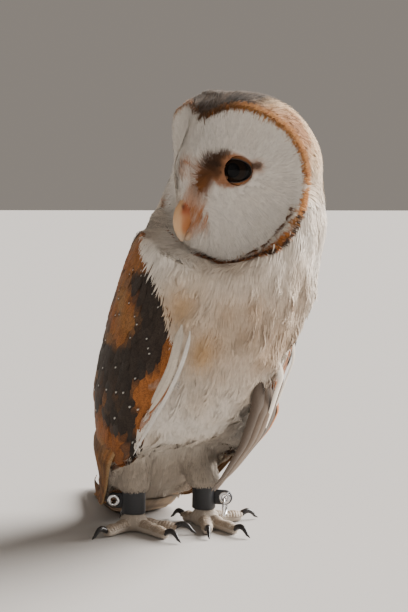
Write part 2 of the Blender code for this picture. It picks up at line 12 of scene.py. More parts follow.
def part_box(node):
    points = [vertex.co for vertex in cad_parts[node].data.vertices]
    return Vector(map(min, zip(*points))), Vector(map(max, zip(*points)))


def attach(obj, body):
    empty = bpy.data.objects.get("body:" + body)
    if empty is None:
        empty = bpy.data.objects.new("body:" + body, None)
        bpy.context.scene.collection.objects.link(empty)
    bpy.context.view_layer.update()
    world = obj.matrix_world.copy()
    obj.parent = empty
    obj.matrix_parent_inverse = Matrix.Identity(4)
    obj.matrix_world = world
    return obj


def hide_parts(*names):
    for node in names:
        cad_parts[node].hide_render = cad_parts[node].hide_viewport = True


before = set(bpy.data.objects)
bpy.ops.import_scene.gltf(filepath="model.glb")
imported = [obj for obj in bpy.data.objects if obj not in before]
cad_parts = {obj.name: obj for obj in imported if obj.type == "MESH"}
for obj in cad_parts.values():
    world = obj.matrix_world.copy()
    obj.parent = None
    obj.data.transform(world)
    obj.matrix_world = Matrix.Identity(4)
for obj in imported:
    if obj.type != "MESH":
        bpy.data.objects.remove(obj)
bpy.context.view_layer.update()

# ---------------------------------------------------------------- skin
# The hide under the feathers, one closed surface from the crown to the toes. It lies about 2 mm inside
# the tips of the feathers, 1 mm on the face, and is itself the outline of the toes. It carries the same
# markings as the feathers that grow on it.

flesh = [
    "head", "neck", "trunk", "tail", "wing_left", "wing_right",
    "leg_left", "leg_right", "foot_left", "foot_right",
]
skin_grain = 0.00125  # size of the squares that the skin is made of
overlap = 0.0007  # how far neighbouring pieces are swollen so that they grow together

# The line down the inside of the back, which the body's sections stand on, as in the solid model.
back_top, back_slope = (-0.066, 0.200), radians(66)
back_end_height, back_bend = 0.0075, 0.048
side_lean, tail_swing, wing_tip = 0.0075, 0.019, 0.297
outer_form = (
    (-0.030, 0.024, 0.022), (-0.016, 0.038, 0.034), (0.000, 0.0475, 0.0410), (0.012, 0.0520, 0.0440),
    (0.036, 0.0560, 0.0475), (0.068, 0.0582, 0.0515), (0.094, 0.0577, 0.0515), (0.134, 0.0547, 0.0480),
    (0.154, 0.0490, 0.0420), (0.169, 0.0450, 0.0360), (0.180, 0.0410, 0.0300), (0.205, 0.0330, 0.0200),
    (0.235, 0.0270, 0.0120), (0.265, 0.0210, 0.0088), (0.285, 0.0145, 0.0066), (0.297, 0.0070, 0.0045),
)  # way down, half width, half depth
nape_fill = ((-0.030, 0.0220), (0.000, 0.0185), (0.020, 0.0130), (0.040, 0.0078), (0.075, 0.0))
wing_back_edge = (
    (0.030, 69), (0.036, 58), (0.050, 38), (0.080, 17), (0.110, 5), (0.140, 1.2), (0.297, 1.2),
)  # way down, degrees round from the back
wing_front_edge = (
    (0.030, 78), (0.036, 95), (0.046, 110), (0.068, 128), (0.092, 140), (0.134, 127), (0.161, 128),
    (0.174, 107), (0.190, 99), (0.205, 96), (0.265, 92), (0.297, 85),
)
straight = (back_top[1] - back_end_height - back_bend * (1 - cos(back_slope))) / sin(back_slope)

# The head's own frame: x to the owl's right, y out of the face, z up.
head_turn, head_roll = radians(-72), radians(-4)
eye_place = Vector((0.0164, 0.0212, 0.0034))
face_middle = -0.006
face_rim = (
    (0.0000, 0.0380, 0.0275), (0.0100, 0.0330, 0.0345), (0.0200, 0.0260, 0.0368),
    (0.0345, 0.0195, 0.0322), (0.0440, 0.0105, 0.0220), (0.0474, 0.0025, 0.0070),
    (0.0480, 0.0030, -0.0090), (0.0460, 0.0090, -0.0225), (0.0385, 0.0180, -0.0360),
    (0.0277, 0.0240, -0.0440), (0.0150, 0.0305, -0.0490), (0.0000, 0.0350, -0.0505),
)  # points on the left half of the face's rim, from the notch in the forehead to the chin
head_axes = Matrix.Rotation(head_turn + pi, 3, "Z") @ Matrix.Rotation(head_roll, 3, "Y")


def middle(node):
    low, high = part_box(node)
    return (Vector(low) + Vector(high)) / 2


eye_line = (middle("eye_left") + middle("eye_right")) / 2
head_middle = eye_line - head_axes @ Vector((0.0, eye_place.y, eye_place.z))
feet_middle = np.array(head_middle) - np.array((0.008, -0.055, 0.209))  # on the floor between the ankles
head_turned = np.array(head_axes)


def ease(x):
    x = np.clip(x, 0.0, 1.0)
    return x * x * (3 - 2 * x)


def reading(stations, s, column=1):
    """The value in one column of a table at each distance s, on a smooth curve through its rows."""
    table = np.array(stations, float)
    places, values = table[:, 0], table[:, column]
    slopes = np.empty_like(values)
    slopes[1:-1] = (values[2:] - values[:-2]) / (places[2:] - places[:-2])
    slopes[0] = (values[1] - values[0]) / (places[1] - places[0])
    slopes[-1] = (values[-1] - values[-2]) / (places[-1] - places[-2])
    i = np.clip(np.searchsorted(places, s, side="right") - 1, 0, len(places) - 2)
    span = places[i + 1] - places[i]
    x = np.clip((s - places[i]) / span, 0.0, 1.0)
    return (
        (2 * x**3 - 3 * x**2 + 1) * values[i]
        + (x**3 - 2 * x**2 + x) * slopes[i] * span
        + (3 * x**2 - 2 * x**3) * values[i + 1]
        + (x**3 - x**2) * slopes[i + 1] * span
    )


def back_line(s):
    """Points on the line down the back, and the directions to the owl's back and down the line there."""
    slope = back_slope - np.clip((s - straight) / back_bend, 0.0, back_slope)
    down = np.minimum(s, straight)
    y = back_top[0] + down * cos(back_slope) + back_bend * (sin(back_slope) - np.sin(slope))
    z = back_top[1] - down * sin(back_slope) - back_bend * (np.cos(slope) - cos(back_slope))
    y = y + np.maximum(s - straight - back_bend * back_slope, 0.0)
    x = side_lean * (1 - ease(s / 0.17)) + tail_swing * ease((s - 0.19) / (wing_tip - 0.19))
    none = np.zeros_like(slope)
    to_back = np.stack([none, np.sin(slope), np.cos(slope)], -1)
    onward = np.stack([none, np.cos(slope), -np.sin(slope)], -1)
    return np.stack([x, y, z], -1) + feet_middle, to_back, onward


def form_point(s, angle, rise=0.0):
    """On the outer form, angle radians round from the back towards the owl's left, raised by rise."""
    centre, to_back, _ = back_line(s)
    wide = reading(outer_form, s) + rise
    deep = reading(outer_form, s, 2) + rise + reading(nape_fill, s) * np.maximum(np.cos(angle), 0.0)
    point = centre + to_back * (deep * np.cos(angle))[..., None]
    point[..., 0] += wide * np.sin(angle)
    return point


def body_place(points):
    """For each point, the distance down the back, the angle round from the back towards the owl's left,
    and how far out it stands, 1 being on the outer form."""
    p = points - feet_middle
    y, z = p[..., 1] - back_top[0], p[..., 2] - back_top[1]
    s = y * cos(back_slope) - z * sin(back_slope)
    bend_y = straight * cos(back_slope) + back_bend * sin(back_slope)
    bend_z = -straight * sin(back_slope) + back_bend * cos(back_slope)
    slope = np.arctan2(bend_y - y, bend_z - z)
    on_bend = straight + back_bend * (back_slope - slope)
    on_floor = straight + back_bend * back_slope + y - bend_y
    s = np.where(s > straight, np.where(y > bend_y, on_floor, on_bend), s)
    s = np.clip(s, outer_form[0][0], wing_tip)
    centre, to_back, _ = back_line(s)
    across = points[..., 0] - centre[..., 0]
    back = ((points - centre) * to_back).sum(-1)
    across, back = across / reading(outer_form, s), back / reading(outer_form, s, 2)
    return s, np.arctan2(across, back), np.hypot(across, back)


def head_place(points):
    return (points - np.array(head_middle)) @ head_turned


def rim_at(turn):
    """The face's rim, turn going from 0 at the notch in the forehead to 1 at the chin and on to 2."""
    side = np.where(turn <= 1, 1.0, -1.0)
    row = np.where(turn <= 1, turn, 2 - turn) * (len(face_rim) - 1)
    table = [(i, *point) for i, point in enumerate(face_rim)]
    return np.stack([side * reading(table, row), reading(table, row, 2), reading(table, row, 3)], -1)


rim_curve = rim_at(np.linspace(0, 1, 61))
rim_bearing = np.arctan2(rim_curve[:, 0], rim_curve[:, 2] - face_middle)
rim_reach = np.hypot(rim_curve[:, 0], rim_curve[:, 2] - face_middle)


def face_place(local):
    """For points in the head's frame: the share of the way out to the rim, the bearing from straight up,
    and the rim's distance forward at that bearing."""
    bearing = np.arctan2(np.abs(local[..., 0]), local[..., 2] - face_middle)
    reach = np.hypot(local[..., 0], local[..., 2] - face_middle)
    out = reach / np.interp(bearing, rim_bearing, rim_reach)
    return out, bearing, np.interp(bearing, rim_bearing, rim_curve[:, 1])


def lattice(points, size, seed=0):
    """Soft noise between 0 and 1 that changes over size metres."""
    p = points / size + seed * 17.31
    cell = np.floor(p).astype(np.int64)
    part = p - cell
    part = part * part * (3 - 2 * part)
    total = 0.0
    for corner in range(8):
        step = np.array([corner & 1, corner >> 1 & 1, corner >> 2 & 1])
        key = (cell + step) * np.array([73856093, 19349663, 83492791])
        mixed = key[..., 0] ^ key[..., 1] ^ key[..., 2]
        value = ((mixed * 2654435761 + 1013904223) & 0xFFFFFFFF) / 0xFFFFFFFF
        share = np.where(step, part, 1 - part).prod(-1)
        total = total + value * share
    return total


def blend(a, b, share):
    """Colour a going over to colour b by share, for arrays of either."""
    return np.asarray(a) + (np.asarray(b) - np.asarray(a)) * np.asarray(share)[..., None]


white = np.array((0.74, 0.70, 0.645))
cream = np.array((0.70, 0.62, 0.52))
peach = np.array((0.62, 0.47, 0.34))
buff = np.array((0.50, 0.31, 0.145))
gold = np.array((0.34, 0.165, 0.052))
rust = np.array((0.28, 0.095, 0.020))
umber = np.array((0.045, 0.020, 0.009))
soot = np.array((0.020, 0.016, 0.014))
ash = np.array((0.110, 0.085, 0.068))
toe_grey = np.array((0.42, 0.36, 0.30))
# brown for painted shade low under the body, between the legs
painted_shade_brown = np.array((0.33, 0.245, 0.175))
along_x_y = np.array((1.0, 1.0, 0.22))  # draws noise out into streaks that run up and down

face_slant = 1.45  # how much longer a way across the sloping face is than it looks from in front


def capsule(u, v, start, end, radius):
    """1 on the line from start to end, falling to 0 at radius from it, and the share of the way along."""
    start, way = np.array(start), np.array(end) - np.array(start)
    share = np.clip(((u - start[0]) * way[0] + (v - start[1]) * way[1]) / (way**2).sum(), 0, 1)
    away = np.hypot(u - start[0] - way[0] * share, v - start[1] - way[1] * share)
    return ease(1.25 * (1 - away / radius)), share


def face_colours(local):
    """White bowl with a brown patch that runs from the eye's inner corner down to the bill, a rusty ring
    round the eye and a small dark corner behind it. u goes out along the face from the eye and v up, in
    millimetres."""
    u = (np.abs(local[..., 0]) - eye_place.x) * face_slant * 1000
    v = (local[..., 2] - eye_place.z) * 1000
    soft = lattice(local, 0.006, 3)
    hair = lattice(local * np.array((1.0, 1.0, 2.6)), 0.0016, 4)
    colours = blend(white * 1.02, cream, 0.25 * soft)
    wash, _ = capsule(u, v, (-9, 1), (-21, -1), 9.0)
    colours = blend(colours, rust * 1.3, wash * (0.25 + 0.65 * ease(hair * 2 - 0.7)))
    away = np.hypot(u / np.where(u > 0, 1.28, 1.0), v)
    colours = blend(colours, rust * 1.15, 0.90 * ease((10.9 - away) / 3.0))
    inner = ease((-u - 1.0) / 5.0) * ease((12.5 - away) / 3.0)
    colours = blend(colours, umber * 1.1, 0.9 * inner * ease((v + 7.0) / 5.0))
    streak, down = capsule(u, v, (-12, -6), (-22, -22), 7.0)
    colours = blend(colours, blend(rust * 1.1, rust * 1.7, down), 0.9 * streak)
    gape, _ = capsule(u, v, (-14, -20), (-22, -33), 6.0)
    colours = blend(colours, rust * 1.6, 0.75 * gape * (0.45 + 0.55 * ease(hair * 2 - 0.6)))
    core, low = capsule(u, v, (-9.0, 3.5), (-13.0, -9.5), 8.0)
    colours = blend(colours, blend(umber * 0.7, rust * 0.75, 0.7 * low), 0.97 * core)
    brow, _ = capsule(u, v, (-10, 6), (-2, 9.0), 3.2)
    colours = blend(colours, umber * 1.5, 0.75 * brow)
    behind, _ = capsule(u, v, (9.0, 1.5), (15.0, 3.0), 6.0)
    colours = blend(colours, rust * 1.2, 0.6 * behind)
    corner, _ = capsule(u, v, (9.5, 2.0), (15.0, 3.4), 3.4)
    return blend(colours, umber * 1.4, 0.85 * corner)


def rim_colours(local, bearing):
    """Rust over the brow, darkest at the notch, and broken orange and cream below the eye. On the owl's
    right the rim is white at the eye's level."""
    speck = lattice(local, 0.0015, 8)
    fleck = lattice(local, 0.0030, 9)
    turned = np.degrees(bearing)
    upper = blend(rust * 1.05, gold * 1.35, speck * 0.8)
    upper = blend(upper, umber * 1.3, 0.8 * ease((26 - turned) / 12) * ease(speck * 2))
    broken = blend(blend(rust * 1.5, gold * 1.4, speck), cream, 0.9 * ease(fleck * 3.4 - 2.0))
    under = blend(rust * 1.5, cream, 0.9 * ease(speck * 3 - 2.0))
    colours = blend(upper, broken, ease((turned - 76) / 12))
    colours = blend(colours, under, ease((turned - 108) / 10))
    pale = (local[..., 0] > 0) * ease((turned - 42) / 14) * ease((112 - turned) / 12)
    return blend(colours, white, 0.9 * pale)


def crown_colours(local, out, bearing):
    """Grey marbled crown between rust borders, gold behind the rim, going over to cream down the neck."""
    x, y, z = np.abs(local[..., 0]), local[..., 1], local[..., 2]
    on_right = local[..., 0] > 0
    crown = ease((0.0265 - x + 0.12 * (y - 0.01)) / 0.007) * ease((y + 0.034) / 0.020)
    crown = crown * ease((z - 0.012) / 0.014)
    speck = lattice(local, 0.0022, 5)
    base = blend(buff, cream, ease((0.018 - z) / 0.030) * 0.55 + 0.35 * speck)
    base = blend(base, cream, ease((-y - 0.004) / 0.030) * 0.40)
    grey = blend(ash * 0.62, soot * 0.9, ease(speck * 2.2 - 0.9))
    grey = blend(grey, gold * 0.6, 0.35 * lattice(local, 0.005, 6))
    colours = blend(base, grey, crown)
    last = np.where(on_right, radians(50), radians(80))
    edge = ease(1 - (out - 1.0) * 0.045 / 0.0036) * ease((last - bearing) / radians(25))
    colours = blend(colours, rust, 0.75 * edge * (y > -0.004))
    notch = ease((0.0075 - x) / 0.004) * ease((y - 0.022) / 0.006)
    colours = blend(colours, umber * 1.3, 0.7 * notch * ease(speck * 2))
    low = np.where(on_right, radians(62), radians(92))
    return blend(colours, white, ease((bearing - low) / radians(16)))


band_front = (
    (0.030, 97), (0.041, 105), (0.051, 110), (0.060, 117), (0.070, 124), (0.098, 124), (0.108, 114),
    (0.125, 118), (0.142, 122), (0.154, 130),
)  # degrees round from the back, at each way down
band_back = (
    (0.030, 97), (0.044, 96), (0.050, 84), (0.060, 82), (0.069, 97), (0.085, 99), (0.093, 92),
    (0.104, 56), (0.136, 60), (0.150, 112),
)


def wing_colours(points, s, angle, inside):
    """Golden orange clouded with grey, a broad sooty band slanting down it, then orange and cream up to a
    white fore edge. The inner face is pale."""
    turned = np.abs(np.degrees(angle))
    edge, first, last = reading(wing_front_edge, s), reading(band_back, s), reading(band_front, s)
    speck = lattice(points, 0.0016, 12)
    wobble = 6 * (lattice(points, 0.008, 13) - 0.5)
    streak = lattice(points * along_x_y, 0.0034, 15)
    colours = blend(gold * 0.90, rust * 1.15, ease(lattice(points, 0.011, 14) * 2.2 - 0.6))
    grey = blend(soot * 1.7, ash * 0.95, speck)
    colours = blend(colours, grey, 0.75 * ease(lattice(points, 0.009, 11) * 3.2 - 1.75))
    band = ease((turned - first + wobble) / 7) * ease((last + 0.4 * wobble - turned) / 3 + 0.5)
    band = band * ease((s - 0.027) / 0.008)
    broken = 0.75 * ease((s - 0.108) / 0.02) * ease(streak * 2.8 - 1.3) * ease((110 - turned) / 8)
    band = band * (1 - broken)
    colours = blend(colours, blend(soot * 0.7, ash * 0.40, speck), 0.97 * band)
    low, shoulder = ease((s - 0.102) / 0.006), ease((0.066 - s) / 0.012)
    fore = ease((turned - last - 0.4 * wobble) / 3 + 0.5)
    strip = blend(blend(rust * 1.5, buff * 1.05, shoulder), rust * 1.35, low)
    colours = blend(colours, strip, 0.95 * fore)
    colours = blend(colours, cream * 0.86, ease((turned - last - 4.5) / 3) * (1 - low) * (1 - shoulder))
    colours = blend(colours, white, ease((turned - edge + 3.0) / 1.5) * (1 - shoulder))
    return blend(colours, cream * 1.02, inside)


def breast_colours(points, s, angle):
    """White on the flanks and neck, warm peach down the middle, palest grey-cream on the belly, with two
    buff patches by the right wing, and brown painted shade low under the tail and between the legs."""
    front = np.abs(np.degrees(angle))
    soft = lattice(points, 0.013, 21)
    middle_share = ease((front - 128) / 30)
    colours = blend(white, cream, 0.30 + 0.45 * soft)
    chest = np.exp(-(((s - 0.062) / 0.038) ** 2))
    colours = blend(colours, peach * 0.86, 0.88 * middle_share * chest + 0.25 * ease(soft * 2 - 0.8))
    by_wing = np.exp(-(((s - 0.077) / 0.013) ** 2) - ((front - 149) / 9) ** 2)
    by_wing = by_wing + 0.9 * np.exp(-(((s - 0.056) / 0.017) ** 2) - ((front - 126) / 15) ** 2)
    colours = blend(colours, blend(buff, peach, 0.15), 0.98 * np.clip(by_wing, 0, 1) * (angle < 0))
    # painted shade: the pale plumage low under the tail and between the legs darkened brown where shadow
    # falls
    painted_shade_low = ease((0.052 - points[..., 2]) / 0.016) * (front < 175)
    colours = blend(colours, painted_shade_brown, 0.75 * painted_shade_low)
    dots = lattice(points, 0.0036, 22)
    return blend(colours, umber, 0.5 * (dots > 0.93) * ease((s - 0.07) / 0.03))


def mantle_colours(points, s):
    """Golden buff veiled with grey, paler up to the nape."""
    speck = lattice(points, 0.0019, 31)
    veil = ease(lattice(points, 0.008, 32) * 2.4 - 0.7) * 0.85
    return blend(cream, blend(gold, blend(ash, soot, speck), veil), ease((s - 0.010) / 0.020))


def mantle_top(front):
    """How far down the back the mantle's gold begins, lower at the shoulders than on the spine."""
    return 0.014 + 0.026 * ease((front - 18) / 26)


# What a patch of skin belongs to.
HEAD, NECK, TRUNK, TAIL, WING, LEG, FOOT = range(7)
kinds = (HEAD, NECK, TRUNK, TAIL, WING, WING, LEG, LEG, FOOT, FOOT)  # one for each of the flesh solids


def in_bowl(local, out, forward):
    """Whether points lie in the bowl of the face."""
    return (out < 1.0) & (local[..., 1] > forward - 0.004)


def plumage_colours(points, kind):
    """The owl's markings at each point."""
    s, angle, standing = body_place(points)
    local = head_place(points)
    out, bearing, forward = face_place(local)
    front = np.abs(np.degrees(angle))
    colours = breast_colours(points, s, angle)
    mantle = ease((reading(wing_back_edge, np.maximum(s, 0.030)) + 13 - front) / 7)
    mantle = mantle * ease((s - mantle_top(front)) / 0.004)
    mantle = mantle * ease((0.194 - 0.018 * ease((front - 15) / 25) - points[..., 2]) / 0.008)
    colours = blend(colours, mantle_colours(points, s), mantle)
    thigh = (kind == LEG) | ((kind == TRUNK) & (s > 0.15) & (front > 60))
    colours = blend(colours, cream * 0.86, 0.6 * thigh)
    inside = ease((0.912 - standing) / 0.012) * (front > 25) * (front < 102) * (s > 0.166)
    of_tail = blend(gold * 1.2, cream, 0.4 * np.ones(len(s)))
    colours = np.where((kind == WING)[..., None], wing_colours(points, s, angle, inside), colours)
    colours = np.where((kind == TAIL)[..., None], of_tail, colours)
    colours = np.where((kind == FOOT)[..., None], toe_grey, colours)
    of_head = crown_colours(local, out, bearing)
    of_head = np.where(in_bowl(local, out, forward)[..., None], face_colours(local), of_head)
    rim = (out > 0.955) & (out < 1.06) & (np.abs(local[..., 1] - forward) < 0.006)
    of_head = np.where(rim[..., None], rim_colours(local, bearing), of_head)
    of_head = blend(of_head, colours, ease((0.162 - points[..., 2]) / 0.02))
    return np.where((kind == HEAD)[..., None], of_head, colours)


def freckle_share(points, kind):
    """How strongly the fine dark marbling shows: on crown, wings, mantle and tail."""
    s, angle, _ = body_place(points)
    local = head_place(points)
    out, _, _ = face_place(local)
    crown = (kind == HEAD) & (np.abs(local[..., 0]) < 0.027) & (local[..., 2] > 0.015) & (out > 1.02)
    back = (kind == TRUNK) & (np.abs(angle) < 1.1) & (s > 0.015)
    return np.where(crown, 0.9, np.where((kind == WING) | back, 0.55, np.where(kind == TAIL, 0.25, 0.0)))


def new_finish(name):
    """A finish and its shader."""
    finish = bpy.data.materials.new(name)
    finish.use_nodes = True
    return finish, finish.node_tree.nodes["Principled BSDF"]


def feed(finish, node, inputs):
    """Sets a node's inputs, each to a value or to another node's output."""
    for name, value in inputs.items():
        if isinstance(value, bpy.types.NodeSocket):
            finish.node_tree.links.new(value, node.inputs[name])
        else:
            node.inputs[name].default_value = value


def add(finish, kind, output, inputs=None, **settings):
    """A new node in a finish, given as its named output."""
    node = finish.node_tree.nodes.new("ShaderNode" + kind)
    for name, value in settings.items():
        setattr(node, name, value)
    feed(finish, node, inputs or {})
    return node.outputs[output]


def plumage_finish(name, roughness=0.85, sheen=0.12):
    """Matt feather with a soft sheen: the piece's own markings, marbled finely where they ask for it."""
    finish, shader = new_finish(name)
    place = add(finish, "TexCoord", "Object")
    markings = add(finish, "Attribute", "Color", attribute_name="markings")
    freckles = add(finish, "Attribute", "Fac", attribute_name="freckles")
    marbled = {"Vector": place, "Scale": 1150, "Detail": 2.0, "Distortion": 1.2}
    grain = add(finish, "TexNoise", "Fac", marbled)
    spread = add(finish, "MapRange", "Result", {"Value": grain, "From Min": 0.44, "From Max": 0.60})
    share = add(finish, "Math", "Value", {0: spread, 1: freckles}, operation="MULTIPLY")
    marbling = {"Factor": share, "A": markings, "B": (0.30, 0.28, 0.28, 1.0)}
    darker = add(finish, "Mix", "Result", marbling, data_type="RGBA", blend_type="MULTIPLY")
    fluff = add(finish, "TexNoise", "Fac", {"Vector": place, "Scale": 420, "Detail": 3.0})
    lift = add(finish, "MapRange", "Result", {"Value": fluff, "To Min": 0.86, "To Max": 1.12})
    feed(finish, shader, {
        "Base Color": add(finish, "HueSaturation", "Color", {"Value": lift, "Color": darker}),
        "Normal": add(finish, "Bump", "Normal", {"Height": fluff, "Strength": 0.25, "Distance": 0.0004}),
        "Roughness": roughness,
        "Specular IOR Level": 0.25,
        "Sheen Weight": sheen,
        "Sheen Roughness": 0.5,
        "Sheen Tint": (1.0, 0.96, 0.90, 1.0),
    })
    return finish


def solid_copy(names, swell):
    """The named solids in one bmesh, each swollen a little."""
    joined = bmesh.new()
    for name in names:
        one = bmesh.new()
        one.from_mesh(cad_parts[name].data)
        bmesh.ops.remove_doubles(one, verts=one.verts, dist=1e-6)
        bmesh.ops.recalc_face_normals(one, faces=one.faces)
        one.normal_update()
        moves = [vertex.normal * swell for vertex in one.verts]
        for vertex, move in zip(one.verts, moves):
            vertex.co += move
        shell = bpy.data.meshes.new(name + "_copy")
        one.to_mesh(shell)
        one.free()
        joined.from_mesh(shell)
        bpy.data.meshes.remove(shell)
    return joined


def read_out(collection, field, wide, kind=np.float32):
    """One field of every item in a mesh's collection, as rows of wide numbers."""
    values = np.empty(len(collection) * wide, kind)
    collection.foreach_get(field, values)
    return values.reshape(-1, wide)


def mesh_points(mesh):
    return read_out(mesh.vertices, "co", 3).astype(float)


def mesh_normals(mesh):
    return read_out(mesh.vertex_normals, "vector", 3).astype(float)


coat_depths = np.array((0.0024, 0.0022, 0.0022, 0.0006, 0.0022, 0.0020, 0.0))  # from HEAD to FOOT
face_depth, quill_depth = 0.0011, 0.0006  # on the face, and where the wing and tail are bare quills
anklet_edge = 0.0245  # height below which the legs are bare


def coat_depth(points, kind):
    """How far the skin lies under the tips of the feathers."""
    s = body_place(points)[0]
    local = head_place(points)
    out, _, forward = face_place(local)
    depth = coat_depths[kind]
    depth[(kind == HEAD) & in_bowl(local, out, forward)] = face_depth
    thin = ease((s - 0.185) / 0.03) * (kind == WING)
    depth = depth * (1 - thin) + quill_depth * thin
    depth[(kind == LEG) & (points[:, 2] < anklet_edge)] = 0.0
    return depth


node_faces = solid_copy(flesh, 0.0)
face_kinds = []
for name, kind in zip(flesh, kinds):
    alone = solid_copy([name], 0.0)
    face_kinds += [kind] * len(alone.faces)
    alone.free()
face_kinds = np.array(face_kinds)
solid_tree = BVHTree.FromBMesh(node_faces)
node_faces.free()


def kind_at(points):
    """What each point belongs to, by the nearest solid."""
    return face_kinds[[solid_tree.find_nearest(point)[2] for point in points.tolist()]]


def grown_together():
    """The flesh solids grown into one surface of small squares."""
    joined = solid_copy(flesh, overlap)
    mesh = bpy.data.meshes.new("plumage_skin")
    joined.to_mesh(mesh)
    joined.free()
    made = bpy.data.objects.new("plumage_skin", mesh)
    bpy.context.scene.collection.objects.link(made)
    change = made.modifiers.new("grow_together", "REMESH")
    change.mode = "VOXEL"
    change.voxel_size = skin_grain
    bpy.context.view_layer.update()
    applied = made.evaluated_get(bpy.context.evaluated_depsgraph_get())
    mesh = bpy.data.meshes.new_from_object(applied)
    made.modifiers.clear()
    made.data = mesh
    return made


def drop_loose(shape):
    """Deletes every island of a bmesh but the largest."""
    islands, seen = [], set()
    for vertex in shape.verts:
        if vertex.index in seen:
            continue
        island, queue = [], [vertex]
        seen.add(vertex.index)
        while queue:
            one = queue.pop()
            island.append(one)
            for edge in one.link_edges:
                other = edge.other_vert(one)
                if other.index not in seen:
                    seen.add(other.index)
                    queue.append(other)
        islands.append(island)
    islands.sort(key=len)
    for island in islands[:-1]:
        bmesh.ops.delete(shape, geom=island, context="VERTS")


seam_reach = 0.016  # how far from a seam of the neck the skin is drawn smooth
lobe_width, lobe_height = 0.0115, 0.0042  # of the soft lobes of the breast


def make_skin():
    """The skin and what each of its points belongs to: drawn in by the coat's depth, evened, the neck
    flowing into head and trunk, and soft lobes pressed into the breast."""
    made = grown_together()
    shape = bmesh.new()
    shape.from_mesh(made.data)
    drop_loose(shape)
    for _ in range(2):
        bmesh.ops.smooth_vert(
            shape, verts=shape.verts, factor=0.5, use_axis_x=True, use_axis_y=True, use_axis_z=True
        )
    shape.to_mesh(made.data)
    shape.free()
    points = mesh_points(made.data)
    kind = kind_at(points)
    depth = overlap + coat_depth(points, kind)
    a, b = read_out(made.data.edges, "vertices", 2, np.int32).T
    count = np.bincount(np.concatenate([a, b]), minlength=len(points))

    def evened(values):
        total = np.zeros_like(values)
        np.add.at(total, a, values[b])
        np.add.at(total, b, values[a])
        return total / (count if values.ndim == 1 else count[:, None])

    for _ in range(6):
        depth = evened(depth)
    normals = mesh_normals(made.data)
    for _ in range(4):
        normals = evened(normals)
    normals /= np.linalg.norm(normals, axis=1)[:, None]
    points -= normals * depth[:, None]
    soft = np.isin(kind, (HEAD, NECK, TRUNK, LEG)).astype(float)[:, None] * 0.6
    for _ in range(5):
        points += (evened(points) - points) * soft

    # Where head, neck and trunk meet, a band is drawn smooth and mostly outward, and the face is held.
    core = np.isin(kind, (HEAD, NECK, TRUNK))
    joint = (kind[a] != kind[b]) & core[a] & core[b]
    seam = KDTree(int(joint.sum()))
    for i, place in enumerate(((points[a[joint]] + points[b[joint]]) / 2).tolist()):
        seam.insert(place, i)
    seam.balance()
    away = np.array([seam.find(place)[2] for place in points.tolist()])
    local = head_place(points)
    out, _, forward = face_place(local)
    held = (kind == HEAD) & (out < 1.07) & (local[:, 1] > forward - 0.0045)
    merge = (ease(1.6 * (1 - away / seam_reach)) * ~held * core)[:, None]
    for _ in range(60):
        points += (evened(points) - points) * merge
    for _ in range(160):
        move = evened(points) - points
        up = (move * normals).sum(1)[:, None]
        points += np.where(up > 0, move, move * 0.25) * merge

    s, angle, _ = body_place(points)
    ball = 1 - np.abs(2 * lattice(points * np.array((1.0, 1.0, 0.75)), lobe_width, 61) - 1)
    lobed = np.isin(kind, (NECK, TRUNK)) * ease((s - 0.020) / 0.03) * ease((np.abs(angle) - 1.6) / 0.5)
    points += mesh_normals(made.data) * ((ball - 0.80) * lobe_height * lobed)[:, None]
    points[:, 2] = np.maximum(points[:, 2], 0.0)
    made.data.vertices.foreach_set("co", points.astype(np.float32).ravel())
    made.data.update()
    made.data.shade_smooth()
    return made, kind


def mark(mesh, colours, freckles):
    """Stores the markings on a mesh, where its finish reads them."""
    tint = mesh.attributes.new("markings", "FLOAT_COLOR", "POINT")
    rgba = np.ones((len(mesh.vertices), 4), np.float32)
    rgba[:, :3] = colours
    tint.data.foreach_set("color", rgba.ravel())
    fine = mesh.attributes.new("freckles", "FLOAT", "POINT")
    fine.data.foreach_set("value", np.asarray(freckles, np.float32))


skin, skin_kind = make_skin()
skin_points, skin_normals = mesh_points(skin.data), mesh_normals(skin.data)
mark(skin.data, plumage_colours(skin_points, skin_kind), freckle_share(skin_points, skin_kind))
skin.data.materials.append(plumage_finish("skin_and_down", 0.9, 0.2))
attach(skin, "root")
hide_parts(*flesh)

# ---------------------------------------------------------------- feathers of the face
# Thin hair-like feathers that spray out from the eyes and the bill to the rim, each tuft a fan of
# tapering strands. They are rooted in the skin and lie along it, each over the roots of the next.

rng = np.random.default_rng(11)
bake_patch = 0.003  # size of each tuft's patch on the skin's unwrap


def unwrap(made):
    """Unwraps the skin's own shape into the map OFBake."""
    made.data.uv_layers.new(name="OFBake")
    bpy.context.view_layer.objects.active = made
    made.select_set(True)
    bpy.ops.object.mode_set(mode="EDIT")
    bpy.ops.mesh.select_all(action="SELECT")
    bpy.ops.uv.smart_project(angle_limit=radians(66), island_margin=0.002)
    bpy.ops.object.mode_set(mode="OBJECT")
    made.select_set(False)


unwrap(skin)
skin.data.calc_loop_triangles()
skin_corners = read_out(skin.data.loop_triangles, "vertices", 3, np.int32)
skin_loops = read_out(skin.data.loop_triangles, "loops", 3, np.int32)
skin_uv = read_out(skin.data.uv_layers["OFBake"].data, "uv", 2)
skin_tree = BVHTree.FromPolygons(skin_points.tolist(), skin_corners.tolist())
corner_points = skin_points[skin_corners]
crossed = np.cross(corner_points[:, 1] - corner_points[:, 0], corner_points[:, 2] - corner_points[:, 0])
patch_areas = np.linalg.norm(crossed, axis=1) / 2
patch_normals = skin_normals[skin_corners].mean(1)
patch_normals /= np.linalg.norm(patch_normals, axis=1)[:, None]
patch_kinds = skin_kind[skin_corners[:, 0]]
patch_centres = corner_points.mean(1)
patch_s, patch_angle, _ = body_place(patch_centres)
patch_local = head_place(patch_centres)
patch_out, patch_bearing, patch_forward = face_place(patch_local)
patch_on_face = (patch_kinds == HEAD) & in_bowl(patch_local, patch_out, patch_forward)


